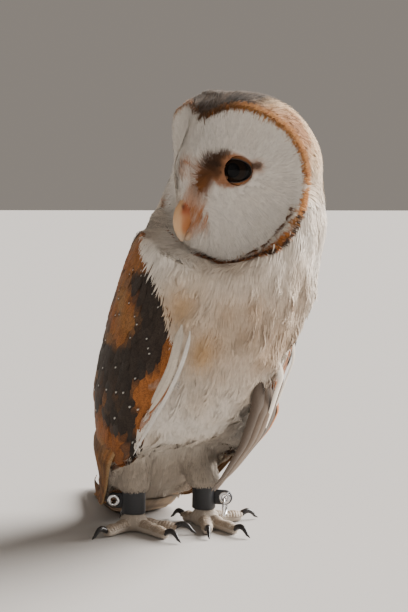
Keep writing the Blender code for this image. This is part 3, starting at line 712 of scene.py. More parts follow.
def crowded(point, room, cell, reach, grid):
    """Whether one of the points kept so far, sorted into a grid's cells, lies nearer than room."""
    steps = range(-reach, reach + 1)
    for dx, dy, dz in product(steps, steps, steps):
        for x, y, z in grid.get((cell[0] + dx, cell[1] + dy, cell[2] + dz), ()):
            if (x - point[0]) ** 2 + (y - point[1]) ** 2 + (z - point[2]) ** 2 < room * room:
                return True
    return False


def scatter(chosen, spacing):
    """Evenly strewn roots on the chosen patches: points, patch numbers and places on the unwrap."""
    patches = np.flatnonzero(chosen)
    areas = patch_areas[patches]
    gap = spacing if np.ndim(spacing) else np.full(len(patch_areas), spacing)
    wanted = int((areas / gap[patches] ** 2).sum() * 5)
    picked = patches[rng.choice(len(patches), wanted, p=areas / areas.sum())]
    a, b = rng.random((2, wanted))
    over = a + b > 1
    a[over], b[over] = 1 - a[over], 1 - b[over]
    shares = np.stack([1 - a - b, a, b], -1)
    points = (corner_points[picked] * shares[..., None]).sum(1)
    size = float(gap[patches].min())
    cells = np.floor(points / size).astype(int).tolist()
    kept, grid = [], {}
    for i, (point, cell, room) in enumerate(zip(points.tolist(), cells, gap[picked].tolist())):
        if not crowded(point, room, cell, int(room / size + 0.999), grid):
            kept.append(i)
            grid.setdefault(tuple(cell), []).append(point)
    kept = np.array(kept)
    uv = (skin_uv[skin_loops[picked[kept]]] * shares[kept][..., None]).sum(1)
    return points[kept], picked[kept], uv


def to_world(ways):
    return ways @ head_turned.T


def lie(points, kind):
    """The way the feathers lie at each point, before it is laid along the skin."""
    ways = back_line(body_place(points)[0])[2]
    local = head_place(points)
    out, bearing, forward = face_place(local)
    under = ease((bearing - radians(60)) / radians(30))
    swept = np.stack([0.25 * local[:, 0] / 0.04, -1.0 + 0.6 * under, -0.85 - 0.25 * under], -1)
    over_head = to_world(swept)
    away = unit(np.stack([local[:, 0], np.zeros(len(local)), local[:, 2] - face_middle], -1))
    fanned = to_world(away + np.array((0.0, -0.5, 0.0)))
    by_rim = under * ease(1 - (out - 1.0) / 0.30)
    over_head = over_head * (1 - by_rim[:, None]) + fanned * 1.2 * by_rim[:, None]
    ways = np.where((kind == HEAD)[:, None], over_head, ways)
    side = np.where(local[:, 0] < 0, -1.0, 1.0)
    from_eye = np.stack([local[:, 0] - side * eye_place.x, local[:, 2] - eye_place.z], -1)
    from_bill = np.stack([local[:, 0], local[:, 2] + 0.021], -1)
    spray = from_eye / (from_eye**2).sum(1)[:, None] + 0.85 * from_bill / (from_bill**2).sum(1)[:, None]
    spray /= np.linalg.norm(spray, axis=1)[:, None]
    facing = (kind == HEAD) & (out < 1.06) & (local[:, 1] > forward - 0.006)
    on_face = to_world(np.stack([spray[:, 0], np.zeros(len(local)), spray[:, 1]], -1))
    ways = np.where(facing[:, None], on_face, ways)
    return np.where((kind == LEG)[:, None], np.array((0.0, 0.0, -1.0)), ways)


def unit(vectors):
    return vectors / np.maximum(np.linalg.norm(vectors, axis=-1), 1e-12)[..., None]


def laid(ways, ups):
    return unit(ways - ups * (ways * ups).sum(-1)[..., None])


def spines(roots, patches, lengths, sway, direction=lie, steps=4):
    """Rows of points and normals along the skin from each root, and the sideways direction at each."""
    kind = patch_kinds[patches]
    points, ups, ways = [roots], [patch_normals[patches]], []
    turn = rng.normal(0, sway, len(roots))
    for _ in range(steps):
        way = laid(direction(points[-1], kind), ups[-1])
        way = unit(way + np.cross(ups[-1], way) * turn[:, None])
        ways.append(way)
        guess = points[-1] + way * (lengths / steps)[:, None]
        hits = [skin_tree.find_nearest(point) for point in guess.tolist()]
        found = np.array([tuple(hit[0]) for hit in hits])
        points.append(found)
        ups.append(patch_normals[[hit[2] for hit in hits]])
    ways.append(ways[-1])
    return np.stack(points, 1), np.stack(ups, 1), unit(np.cross(np.stack(ways, 1), np.stack(ups, 1)))


def between(rows, t):
    """The rows read at the shares t of the way along, for each root."""
    last = rows.shape[1] - 1
    x = np.clip(t, 0, 1) * last
    i = np.minimum(x.astype(int), last - 1)
    part = (x - i)[..., None]
    which = np.arange(len(rows)).reshape((-1,) + (1,) * (t.ndim - 1))
    return rows[which, i] * (1 - part) + rows[which, i + 1] * part


def sheet(name, points, normals, triangles, uv, colours, freckles, finish):
    """A coat piece: open sheets of triangles that carry markings, marbling and the map OFBake."""
    points, normals, colours = (rows.reshape(-1, 3) for rows in (points, normals, colours))
    a, b, c = np.swapaxes(points[triangles], 0, 1)
    turned = (np.cross(b - a, c - a) * normals[triangles].mean(1)).sum(1) < 0
    triangles = np.where(turned[:, None], triangles[:, ::-1], triangles)
    mesh = bpy.data.meshes.new(name)
    mesh.vertices.add(len(points))
    mesh.vertices.foreach_set("co", points.astype(np.float32).ravel())
    mesh.loops.add(triangles.size)
    mesh.loops.foreach_set("vertex_index", triangles.astype(np.int32).ravel())
    mesh.polygons.add(len(triangles))
    mesh.polygons.foreach_set("loop_start", np.arange(0, triangles.size, 3, dtype=np.int32))
    mesh.update(calc_edges=True)
    mesh.shade_smooth()
    layer = mesh.uv_layers.new(name="OFBake")
    corners = np.clip(uv.reshape(-1, 2), 0, 1)[triangles.ravel()]
    layer.data.foreach_set("uv", corners.astype(np.float32).ravel())
    mark(mesh, np.clip(colours, 0, 1), freckles.ravel())
    mesh.normals_split_custom_set_from_vertices(normals.astype(np.float32).tolist())
    mesh.materials.append(finish)
    made = bpy.data.objects.new(name, mesh)
    bpy.context.scene.collection.objects.link(made)
    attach(made, "root")


white_down = plumage_finish("white_down")
tuft_rows = np.array((0.0, 0.38, 0.74, 1.0))
lobe_size, lobe_step = 0.0085, 0.0010


def lobe_slope(points):
    """The slope of soft clumps, taller than wide, that the plumage falls into."""
    squashed = points * np.array((1.0, 1.0, 0.62))
    here, *there = (
        lattice(place, lobe_size, 91) + 0.5 * lattice(place, lobe_size * 0.45, 92)
        for place in (squashed, *(squashed + lobe_step * step for step in np.eye(3)))
    )
    return -np.stack([(far - here) / lobe_step * lobe_size * 0.25 for far in there], -1)


def tufts(
    name, roots, patches, uv, length, depth, strands, strand_width, fan, *, colour=None, tip=None,
    root_painted_shade=0.34, sway=0.12, stray=0.2, evenness=0.7, ragged=0.22, lift=0.25, softness=0.72,
    direction=lie, lobes=0.0, tip_start=0.45, round_back=0.25,
):
    """Tufts of tapering strands: length and depth are one number or one for each root. Lobes is how
    strongly the light breaks over soft clumps of them; each strand is painted darker towards its root as
    shade."""
    count, rows = len(roots), tuft_rows
    length = np.broadcast_to(length, count) * rng.uniform(0.85, 1.15, count)
    depth = np.broadcast_to(depth, count)
    spine, up, side = spines(roots, patches, length, sway, direction)
    spread = np.linspace(-1, 1, strands)[None] + rng.normal(0, 0.30, (count, strands))
    reach = (1 - 0.28 * spread**2 * 0.5) * rng.uniform(1 - ragged, 1.0, (count, strands))
    t = rows[None, None] * reach[..., None]
    centre, ups, sides = between(spine, t), between(up, t), between(side, t)
    shape = rows[None, None]
    pitch = strand_width * 0.62 * (strands - 1) / 2
    aside = spread[..., None] * (pitch * (1 + 0 * shape) + fan * length[:, None, None] * shape**1.4)
    standing = rng.uniform(0.75, 1.0, (count, 1)) * rng.uniform(evenness, 1.0, (count, strands))
    standing = standing + lift * rng.random((count, strands)) ** 6
    rise = depth[:, None, None] * standing[..., None] * (0.06 + 0.94 * np.sin(shape * 1.75) ** 1.1)
    rise[..., 0] = -0.0003
    middle_line = centre + sides * aside[..., None] + ups * rise[..., None]
    width = strand_width * (1 - rows**2.2 * 0.96)
    width[0] *= 0.8
    half = sides * (width[None, None, :, None] / 2)
    crease = ups * (0.10 * width[None, None, :, None])
    left, right = middle_line - half - crease, middle_line + half - crease
    pairs = np.stack([left[:, :, :-1], right[:, :, :-1]], 3).reshape(count, strands, -1, 3)
    points = np.concatenate([pairs, middle_line[:, :, -1:]], 2)
    each = points.shape[2]
    shares = np.concatenate([np.repeat(rows[:-1], 2), rows[-1:]])
    tilt = np.concatenate([np.tile((-1.0, 1.0), len(rows) - 1), [0.0]])
    full_ups = np.concatenate([np.repeat(ups[:, :, :-1], 2, 2), ups[:, :, -1:]], 2)
    full_sides = np.concatenate([np.repeat(sides[:, :, :-1], 2, 2), sides[:, :, -1:]], 2)
    lean = rng.normal(0, stray, (count, strands, 1, 1))
    normals = unit(full_ups * softness + full_sides * (lean + round_back * tilt[None, None, :, None]))
    if lobes:
        normals = unit(normals + lobes * lobe_slope(points[:, :, 2:3]))
    quads = np.array([(2 * i, 2 * i + 1, 2 * i + 3, 2 * i + 2) for i in range(len(rows) - 2)])
    end = [(each - 3, each - 2, each - 1)]
    tris = np.concatenate([quads[:, [0, 1, 2]], quads[:, [0, 2, 3]], end])
    triangles = (np.arange(count * strands)[:, None, None] * each + tris[None]).reshape(-1, 3)
    at = between(spine, np.clip(0.55 * reach + rng.normal(0, 0.05, reach.shape), 0, 1))
    flat = (at + sides[:, :, 2] * aside[..., 2:3]).reshape(-1, 3)
    kind = np.repeat(patch_kinds[patches], strands)
    tint = (colour or plumage_colours)(flat, kind).reshape(count, strands, 1, 3)
    tone = rng.normal(1.0, 0.03, (count, strands, 1, 1)) * rng.normal(1.0, 0.025, (count, 1, 1, 1))
    # painted shade: each strand darkened towards its root, where the strands lying over it shade it
    shade = (1 - root_painted_shade * (1 - shares**0.8))[None, None, :, None]
    colours = tint * tone * shade
    if tip is not None:
        dark = tip[:, None, None] * ease((shares[None, None] - tip_start) / 0.25)
        colours = blend(colours, umber * 0.8, dark)
    freckles = np.repeat(freckle_share(flat, kind), each)
    aside_uv = (np.arange(strands)[None, :, None] + 0.5 + 0.4 * tilt) / strands - 0.5
    on_patch = np.stack(np.broadcast_arrays(aside_uv, shares[None, None] - 0.5), -1)
    patch_uv = uv[:, None, None] + bake_patch * on_patch
    sheet(name, points, normals, triangles, patch_uv, colours, freckles, white_down)


bill_clear = np.hypot(patch_local[:, 0] * 0.9, np.maximum(np.abs(patch_local[:, 2] + 0.0235) - 0.0115, 0))
eye_apart = np.minimum(
    *(np.linalg.norm(patch_centres - np.array(middle(eye)), axis=1) for eye in ("eye_left", "eye_right"))
)
below_bill = patch_local[:, 2] < -0.037
lids_edge = 0.0084
clear = (eye_apart > lids_edge) & ((bill_clear > 0.0028) | below_bill)
roots, patches, uv = scatter(patch_on_face & clear, 0.00150)
shortest, longest = 0.0034, 0.0115
length = np.clip(shortest + 0.60 * (eye_apart[patches] - 0.0086), shortest, longest)
to_rim = (1 - patch_out[patches]) * np.interp(patch_bearing[patches], rim_bearing, rim_reach) * 1.3
length = np.minimum(length, to_rim + 0.0014)
height = np.where(eye_apart[patches] < 0.0135, 0.0016, 0.0009)
tufts(
    "coat_face", roots, patches, uv, length, height, 7, 0.00026, 0.085,
    ragged=0.35, lift=0.30, root_painted_shade=0.13, softness=0.9,
)


def from_the_eye(points, kind):
    """Across the bridge of the face, away from the eye of the same side, and up."""
    local = head_place(points)
    clear = ease((np.abs(local[:, 0]) - 0.0012) / 0.0060)
    across = (local[:, 0] - np.sign(local[:, 0]) * 1.15 * eye_place.x) * clear
    upward = (local[:, 2] - eye_place.z + 0.004) * clear + 0.012 * (1 - clear)
    return to_world(unit(np.stack([across, 0.008 * clear, upward], -1)))


def bridge_white(points, kind):
    """White on the owl's right half of the bridge."""
    far = ease(head_place(points)[:, 0] / 0.002)
    pale = blend(white, cream, 0.4 * lattice(points, 0.004, 18))
    return blend(plumage_colours(points, kind), pale, far)


bridge = patch_on_face & (eye_apart > 0.0105)
bridge &= (patch_local[:, 0] > -0.0045) & (patch_local[:, 0] < 0.0140)
bridge &= (patch_local[:, 2] > -0.012) & (patch_local[:, 2] < 0.026)
roots, patches, uv = scatter(bridge, 0.0013)
by_eye = ease(1 - np.abs(patch_local[patches][:, 2] - 0.002) / 0.012) * (patch_local[patches][:, 0] > 0)
tufts(
    "bridge_of_the_face", roots, patches, uv, 0.0080, 0.0020 + 0.0016 * by_eye, 9, 0.00034, 0.10,
    direction=from_the_eye, colour=bridge_white, ragged=0.35, lift=0.15,
    evenness=0.85, root_painted_shade=0.0, stray=0.08, softness=1.0,
)

# ---------------------------------------------------------------- ruff round the face
# Rows of short stiff feathers, rooted in the skin along the face's rim: three all round, rust over the
# brow and black-tipped orange under the cheek, one dark row behind them below, and two broken rows inside
# them on the cheek.

rim_length = 0.135  # from the notch in the forehead to the chin


def on_skin(points):
    """The nearest roots on the skin: points, patch numbers and places on the unwrap."""
    hits = [skin_tree.find_nearest(point) for point in points.tolist()]
    patches = np.array([hit[2] for hit in hits])
    return np.array([tuple(hit[0]) for hit in hits]), patches, skin_uv[skin_loops[patches]].mean(1)


def outward(points, kind):
    """Away from the middle of the face, and a little back."""
    local = head_place(points)
    away = unit(np.stack([local[:, 0], local[:, 2] - face_middle], -1))
    return to_world(np.stack([away[:, 0], np.full(len(local), -0.35), away[:, 1]], -1))


def ruff_colour(points, kind):
    local = head_place(points)
    return rim_colours(local, face_place(local)[1])


def ruff_row(name, inset, spacing, length, depth, width, chosen, tip, colour=ruff_colour):
    """One row of tufts along the rim, inset being the share of the way out to it."""
    uneven = rng.uniform(-0.2, 0.2, int(np.ceil(2.0 * rim_length / spacing)))
    turns = np.arange(0.0, 2.0, spacing / rim_length) + uneven * spacing / rim_length
    turns = np.clip(turns, 0.001, 1.999)
    rim = rim_at(turns)
    shrink = inset + rng.normal(0, 0.006, len(turns))
    height = face_middle + (rim[:, 2] - face_middle) * shrink
    local = np.stack([rim[:, 0] * shrink, rim[:, 1] + (1 - shrink) * 0.03, height], -1)
    bearing = np.degrees(face_place(local)[1])
    keep = chosen(bearing)
    points = to_world(local[keep]) + np.array(head_middle)
    roots, patches, uv = on_skin(points)
    pressed = local[keep][:, 0] > 0  # on the owl's right, where the turned head lies against the shoulder
    length, depth = np.where(pressed, length * 0.5, length), np.where(pressed, depth * 0.3, depth)
    tufts(
        name, roots, patches, uv, length, depth, 5, width, 0.10, direction=outward,
        colour=colour, tip=tip(bearing[keep]), tip_start=0.30, root_painted_shade=0.25, ragged=0.30, sway=0.10,
    )


def no_tip(bearing):
    return np.zeros(len(bearing))


def black_tip(bearing):
    return 0.95 * ease((bearing - 97) / 8) * (rng.random(len(bearing)) < 0.5)


def everywhere(bearing):
    return bearing > -1


def on_cheek(bearing):
    return (bearing > 98) & (bearing < 142)


def low_rim(bearing):
    return (bearing > 99) & (rng.random(len(bearing)) < 0.7)


def edge_colour(points, kind):
    return np.broadcast_to(umber * 0.7, points.shape)


def fleck_colour(points, kind):
    dark = lattice(points, 0.0022, 17)
    return blend(cream, blend(rust, umber, 0.7), ease(dark * 4 - 1.4))


def cheek_colour(points, kind):
    return blend(cream, blend(gold * 1.3, rust, 0.4), ease(lattice(points, 0.0020, 19) * 4 - 1.8))


ruff_row("ruff_inner", 0.955, 0.0009, 0.0040, 0.0011, 0.00042, everywhere, no_tip)
ruff_row("ruff_middle", 0.985, 0.0008, 0.0042, 0.0017, 0.00045, everywhere, black_tip)
ruff_row("ruff_outer", 1.015, 0.0007, 0.0048, 0.0024, 0.00060, everywhere, black_tip)
ruff_row("ruff_dark_edge", 1.045, 0.0008, 0.0030, 0.0030, 0.00050, low_rim, no_tip, edge_colour)
ruff_row("ruff_flecks", 0.890, 0.0009, 0.0036, 0.0018, 0.00055, on_cheek, no_tip, fleck_colour)
ruff_row("ruff_cheek", 0.930, 0.0009, 0.0038, 0.0017, 0.00050, on_cheek, no_tip, cheek_colour)

# ---------------------------------------------------------------- feathers of the crown, nape and collar
# Short rounded feathers swept back over the skull, softer and longer down the sides and the nape. Each
# is a tuft of fine barbs, rooted in the skin and laid close over the next.

from_rim = np.hypot((patch_out - 1) * 0.045, patch_local[:, 1] - patch_forward)
above_cheek = patch_bearing < radians(70)
behind_face = (patch_kinds == HEAD) & ~patch_on_face & ((from_rim > 0.0036) | above_cheek)
roots, patches, uv = scatter(behind_face, 0.0021)
clear_of_rim = ease((from_rim[patches] - 0.003) / 0.010)
below_cheek = ease((patch_bearing[patches] - radians(70)) / radians(30))
length = 0.0075 + (0.0015 + 0.0045 * below_cheek) * clear_of_rim
tufts(
    "coat_head", roots, patches, uv, length, 0.0011 + 0.0010 * clear_of_rim, 9, 0.00062, 0.11,
    root_painted_shade=0.14, softness=1.0, stray=0.04, evenness=0.85, lobes=0.8,
    round_back=0.08,
)

# ---------------------------------------------------------------- feathers of the neck, breast and belly
# Long soft white feathers that hang in lobes, peach in the middle of the breast and by the folded wing.
# Each is a loose tuft of downy barbs, rooted in the skin and hanging over the ones below.

soft_body = (patch_kinds == NECK) | (patch_kinds == TRUNK)
mantle_edge = reading(wing_back_edge, np.maximum(patch_s, 0.030))
patch_front = np.abs(np.degrees(patch_angle))
on_mantle = (patch_kinds == TRUNK) & (patch_front < mantle_edge + 6) & (patch_s > mantle_top(patch_front))


def breast_coat(name, chosen):
    roots, patches, uv = scatter(soft_body & ~on_mantle & (from_rim > 0.0037) & chosen, 0.0021)
    clump = 0.7 + 0.7 * lattice(roots * np.array((1.0, 1.0, 0.6)), 0.011, 41)
    tufts(
        name, roots, patches, uv, 0.0115, 0.0011 * clump, 11, 0.00095, 0.09,
        ragged=0.35, root_painted_shade=0.04, softness=1.0, sway=0.08, stray=0.02, evenness=0.96, lift=0.08,
        lobes=1.15, round_back=0.06,
    )


breast_coat("coat_breast_left", patch_angle > 0)
breast_coat("coat_breast_right", patch_angle <= 0)

# ---------------------------------------------------------------- feathers of the legs
# Short white hair-like feathers that cover the thighs and shanks down to the anklets, rooted in the skin
# and lying straight down.

roots, patches, uv = scatter((patch_kinds == LEG) & (patch_centres[:, 2] > 0.0235), 0.0019)
tufts("coat_legs", roots, patches, uv, 0.0075, 0.0016, 7, 0.00045, 0.10)

# ---------------------------------------------------------------- coverts of the wings and mantle
# Small round-ended vaned feathers, rooted in the skin and laid like tiles, many of them with a white drop
# ringed with black near the tip.

blade_rows = np.array((0.0, 0.22, 0.44, 0.62, 0.80, 0.86, 0.91, 0.96, 1.0))
blade_sides = np.array((-1.0, -0.36, 0.0, 0.36, 1.0))
drop_row, drop_white = 0.86, np.array((0.80, 0.77, 0.70))
vaned_finish = plumage_finish("vaned_feathers", 0.75, 0.10)


def vane_width(t, roundness=0.5):
    """Share of the full half width, t of the way to the tip: quickly out from the quill, then round."""
    opening = 0.35 + 0.65 * np.clip(t / 0.35, 0, 1) ** 0.8
    end = np.sqrt(np.clip(1 - np.clip((t - 0.62) / 0.38, 0, 1) ** 2.2, 0, 1)) ** (roundness * 2)
    return opening * end


def blade_mesh(name, grid, normals, uv, colours, freckles, sides, rows):
    """Joins grids of points (feather, row, side) into sheets, each with its own patch of the unwrap."""
    each = len(rows) * len(sides)
    r, c = np.meshgrid(np.arange(len(rows) - 1), np.arange(len(sides) - 1), indexing="ij")
    first = (r * len(sides) + c).ravel()
    quads = np.stack([first, first + 1, first + len(sides) + 1, first + len(sides)], -1)
    tris = np.concatenate([quads[:, [0, 1, 2]], quads[:, [0, 2, 3]]])
    triangles = (np.arange(len(grid))[:, None, None] * each + tris[None]).reshape(-1, 3)
    across, along = np.broadcast_arrays(sides[None, None] * 0.45, rows[None, :, None] - 0.5)
    patch_uv = uv[:, None, None] + bake_patch * np.stack([across, along], -1)
    sheet(name, grid, normals, triangles, patch_uv, colours, freckles, vaned_finish)


def vaned(name, roots, patches, uv, length, half_width, rise, drop, sway):
    """Vaned feathers on the skin; drop is the share of the dark feathers that carry a white drop."""
    count = len(roots)
    length = np.broadcast_to(length, count) * rng.uniform(0.9, 1.1, count)
    half_width = np.broadcast_to(half_width, count) * rng.uniform(0.9, 1.1, count)
    rise = np.broadcast_to(rise, count)
    spine, up, side = spines(roots, patches, length, sway)
    t = np.broadcast_to(blade_rows, (count, len(blade_rows)))
    centre, ups, sides = (between(along, t)[:, :, None] for along in (spine, up, side))
    u = blade_sides[None, None, :, None]
    ragged = 1 + rng.normal(0, 0.03, (count, len(blade_rows), len(blade_sides), 1)) * (np.abs(u) > 0.9)
    across = half_width[:, None, None, None] * vane_width(blade_rows)[None, :, None, None] * u * ragged
    back_off = -0.10 * length[:, None, None, None] * (u**2) * (blade_rows**3)[None, :, None, None]
    arch = 0.10 + 0.90 * np.sin(blade_rows[None] * 1.9) ** 1.2
    lift = rise[:, None] * arch * rng.uniform(0.85, 1.1, (count, 1))
    lift = lift[:, :, None, None] - 0.16 * half_width[:, None, None, None] * u**2
    lift = lift + 0.00012 * (u == 0) + rng.normal(0, 0.03, (count, 1, 1, 1)) * across
    onward = np.cross(ups, sides)
    grid = centre + sides * across + ups * lift + onward * back_off
    cupped = 0.22 * u + rng.normal(0, 0.05, (count, 1, 1, 1))
    normals = unit(ups + sides * cupped + onward * rng.normal(0, 0.05, (count, 1, 1, 1)))
    kind = patch_kinds[patches]
    at = centre[:, 5, 0]
    base = plumage_colours(at, kind)
    edge = plumage_colours(centre.reshape(-1, 3), np.repeat(kind, len(blade_rows)))
    edge = edge.reshape(count, len(blade_rows), 1, 3)
    colours = blend(base[:, None, None], edge, np.full((1, 1, 1), 0.60))
    colours = np.broadcast_to(colours, grid.shape).copy()
    colours *= rng.normal(1.0, 0.045, (count, 1, 1, 1))
    rows, cols = blade_rows[None, :, None], blade_sides[None, None, :]
    # painted shade: each feather darker towards its root, under the feathers that lie over it
    colours *= (0.84 + 0.16 * rows**0.7)[..., None]
    shaft = (np.abs(cols) < 0.1) * 0.15 * (rows > 0.2)
    colours = blend(colours, soot, shaft * np.ones(grid.shape[:3]))
    colours *= (1 - 0.10 * (np.abs(cols) > 0.9) + 0 * rows)[..., None]
    dark = 1 - np.clip(base.mean(1) / 0.20, 0, 1)
    marked = (rng.random(count) < drop * (0.25 + 0.75 * dark))[:, None, None]
    from_drop = np.abs(rows - drop_row)
    ring = marked * ease(1 - (from_drop / 0.16) ** 2) * ease(1 - np.abs(cols) / 0.9)
    colours = blend(colours, soot * 0.5, 0.8 * ring)
    spot = marked * (from_drop < 0.03) * (np.abs(cols) < 0.1)
    colours = blend(colours, drop_white, spot * 0.9)
    fine = freckle_share(at, kind)[:, None, None] * np.ones(grid.shape[:3]) * (1 - spot)
    blade_mesh(name, grid, normals, uv, colours, fine, blade_sides, blade_rows)


def covert_coat(name, chosen):
    """Coverts that grow longer and further apart down the wing, narrow and flat along its fore edge."""
    spacing = 0.0027 + 0.0013 * ease((patch_s - 0.04) / 0.10)
    roots, patches, uv = scatter(chosen, spacing)
    down = ease((body_place(roots)[0] - 0.04) / 0.10)
    edge = np.abs(np.degrees(patch_angle[patches])) - reading(wing_front_edge, patch_s[patches])
    by_edge = ease((edge + 16) / 6) * (patch_kinds[patches] == WING)
    length = 0.0110 + 0.0110 * down + 0.004 * by_edge
    half_width = (0.0021 + 0.0014 * down) * (1 - 0.3 * by_edge)
    rise = (0.0013 + 0.0003 * down) * (1 - 0.5 * by_edge)
    vaned(name, roots, patches, uv, length, half_width, rise, drop=0.26, sway=0.07)


from_back_line = patch_centres - back_line(patch_s)[0]
outside = (patch_normals * unit(from_back_line)).sum(1) > 0.2
upper_wing = (patch_kinds == WING) & outside & (patch_s < 0.168)
covert_coat("coverts_left", upper_wing & (patch_angle > 0))
covert_coat("coverts_right", upper_wing & (patch_angle <= 0))
covert_coat("mantle", on_mantle)

# ---------------------------------------------------------------- flight feathers
# Ten long primaries and nine secondaries on each wing, barred with dark brown and folded like a fan. The
# primaries lie along the fore edge down to the wing's tip, the secondaries over them nearer the back.

long_rows = np.linspace(0, 1, 34) ** 0.9
quill_edge = ((0.080, 112), (0.150, 108), (0.174, 104), (0.200, 97), (0.265, 91), (0.297, 84))
long_sides = np.array((-1.0, -0.7, -0.35, 0.0, 0.35, 0.7, 1.0))


def round_end(t, begin, span):
    """Full width up to begin, then a round end over span."""
    return np.sqrt(np.clip(1 - np.clip((t - begin) / span, 0, 1) ** 2, 0, 1))


def on_form(s, angle, lift, u):
    """A long feather's points and normals on the outer form, raised by lift, cupped across by u."""
    grid = form_point(s, angle, lift)
    ups = unit(form_point(s, angle, lift + 0.001) - grid)
    tangent = unit(np.gradient(grid, axis=1))
    return grid, unit(ups + tangent * (0.35 * u)[..., None])


def long_feathers(name, feathers, sides, rows, root_row, freckle):
    """One piece of many long feathers, each given as its grid, normals and colours."""
    grid, normals, colours = (np.stack(part) for part in zip(*feathers))
    _, _, uv = on_skin(grid[:, root_row, len(sides) // 2])
    blade_mesh(name, grid, normals, uv, colours, np.full(grid.shape[:3], freckle), sides, rows)


def flight_feather(side, start, tip, share_start, share_tip, half_share, rise, tone):
    """Grid, normals and colours of one long feather on the folded wing."""
    t, u = long_rows[:, None], long_sides[None]
    s = start + (tip - start) * t - 0.010 * u**2 * t**8
    width = half_share * round_end(t, 0.80, 0.20)
    ripple = 1 + 0.05 * np.sin(t * 61 + tone * 40) * (np.abs(u) > 0.9)
    share = share_start + (share_tip - share_start) * t + u * width * ripple
    share = np.clip(share, -0.03, 1.03)
    back, front = reading(wing_back_edge, s), reading(quill_edge, s)
    angle = np.radians(back + (front - back) * share) * side
    shown = ease((s - 0.150) / 0.022)
    lift = -0.0050 * (1 - shown) + rise * shown + 0.0005 * (1 - u**2) + 0.0002 * (u == 0)
    grid, normals = on_form(s, angle, lift, u)
    bars = ease((np.sin((s - 0.02) * 2 * pi / 0.021 + tone * 1.5) - 0.35) / 0.4)
    speck = lattice(grid, 0.0016, 51)
    web = blend(gold * 1.1, rust * 1.2, speck * 0.8)
    web = blend(web, ash * 0.8, 0.45 * ease(lattice(grid, 0.006, 52) * 2.4 - 0.8))
    colours = blend(web, umber, 0.8 * bars * (0.55 + 0.45 * speck))
    colours = blend(colours, ash, 0.7 * ease((t - 0.86) / 0.1) * np.ones(s.shape))
    colours = blend(colours, cream, ease((t - 0.975) / 0.02) * 0.6 * np.ones(s.shape))
    pale = ease((share_start - 0.86) / 0.06)
    colours = blend(colours, buff * 0.8, pale * ease((u * np.ones(s.shape) - 0.45) / 0.3))
    colours = blend(colours, soot, 0.35 * (np.abs(u) < 0.05) * np.ones(s.shape))
    colours = colours * (1 - 0.28 * (np.abs(u) > 0.9) * (1 - pale))[..., None]
    return grid, normals, colours * (0.92 + 0.16 * (tone % 1))


def flight_coat(name, side):
    """The primaries, i counting back from the fore edge, and the secondaries over them."""
    feathers = []
    for i in range(10):
        share, tip = 0.955 - 0.048 * i, 0.298 - 0.0062 * i - 0.0004 * i * i
        feathers.append(flight_feather(
            side, 0.105 + 0.004 * i, tip, share, share - 0.03, 0.062, 0.0004 + 0.00008 * i, 0.37 * i
        ))
    for i in range(9):
        share, tip = 0.56 - 0.060 * i, 0.236 - 0.0042 * i
        feathers.append(flight_feather(
            side, 0.100 + 0.002 * i, tip, share, share + 0.02, 0.075, 0.0014 + 0.00010 * i, 0.53 * i + 0.2
        ))
    long_feathers(name, feathers, long_sides, long_rows, 12, 0.5)


flight_coat("flight_feathers_left", 1)
flight_coat("flight_feathers_right", -1)

# ---------------------------------------------------------------- feathers of the wings' fore edges
# Long narrow feathers rooted under the last coverts, that finish each folded wing against the flank:
# three pale ones on the owl's right, and on its left broad ones painted dark brown as the shadow on the
# wing's inner face, with a few pale, dark and rusty ones over them; the dark one is painted as the
# shadow in the gap between the pale ones.

edge_rows = np.linspace(0, 1, 22)
edge_sides = np.array((-1.0, -0.5, 0.0, 0.5, 1.0))
right_edge = (
    (((0.064, 132), (0.086, 134.5), (0.112, 130)), 2.4, 0.0012, cream * 0.84),
    (((0.072, 134), (0.092, 135.5), (0.118, 130)), 1.5, 0.0017, cream * 0.95),
    (((0.066, 138), (0.096, 138.5), (0.150, 127)), 1.1, 0.0023, white * 1.04),
)  # way down and degrees round at start, middle and end, half width in degrees, rise, colour
# painted shadow: dark brown for the folded wing's inner face where it lies in shade
painted_shadow_brown = np.array((0.105, 0.070, 0.046))
left_edge = tuple(
    (
        (
            (0.092 + 0.004 * i, 166 - 7 * i), (0.130 + 0.003 * i, 162 - 8 * i),
            (0.182 + 0.003 * i, 150 - 9 * i),
        ),
        5.5, 0.0012 + 0.0003 * i, painted_shadow_brown * (0.7 + 0.35 * (i % 3)),
    )
    for i in range(5)
) + (
    # painted shadow: a dark feather for the shaded gap between the pale edge feathers
    (((0.088, 150), (0.108, 147), (0.136, 138)), 2.8, 0.0014, umber * 1.5),
    (((0.082, 154), (0.104, 152), (0.132, 143)), 3.0, 0.0019, cream * 1.0),
    (((0.072, 142), (0.100, 141), (0.140, 131)), 2.4, 0.0008, cream * 0.80),
    (((0.106, 138), (0.136, 131), (0.168, 120)), 2.0, 0.0030, rust * 1.5),
    (((0.150, 131), (0.172, 122), (0.194, 112)), 2.2, 0.0020, cream * 0.95),
)


def edge_feather(side, route, half, rise, colour):
    """Grid, normals and colours of one feather along a curve through the three points of its route."""
    t, u = edge_rows[:, None], edge_sides[None]
    weights = ((1 - t) * (1 - 2 * t), 4 * t * (1 - t), t * (2 * t - 1))
    s = sum(weight * place[0] for weight, place in zip(weights, route)) + 0 * u
    turned = sum(weight * place[1] for weight, place in zip(weights, route))
    narrow = np.clip(t / 0.12, 0.25, 1) * round_end(t, 0.7, 0.3)
    angle = np.radians(turned + half * u * narrow) * side
    shown = ease(t / 0.3)
    lift = -0.0045 * (1 - shown) + (rise - 0.0012 * (side > 0) + 0.0006 * (1 - u**2)) * shown
    grid, normals = on_form(s, angle, lift, u)
    tone = 0.9 + 0.2 * lattice(grid * np.array((1.0, 1.0, 0.3)), 0.0022, 61)
    tone = tone * (1 - 0.10 * (np.abs(u) < 0.1)) * (1 - 0.22 * (np.abs(u) > 0.9))
    return grid, normals, colour * tone[..., None]


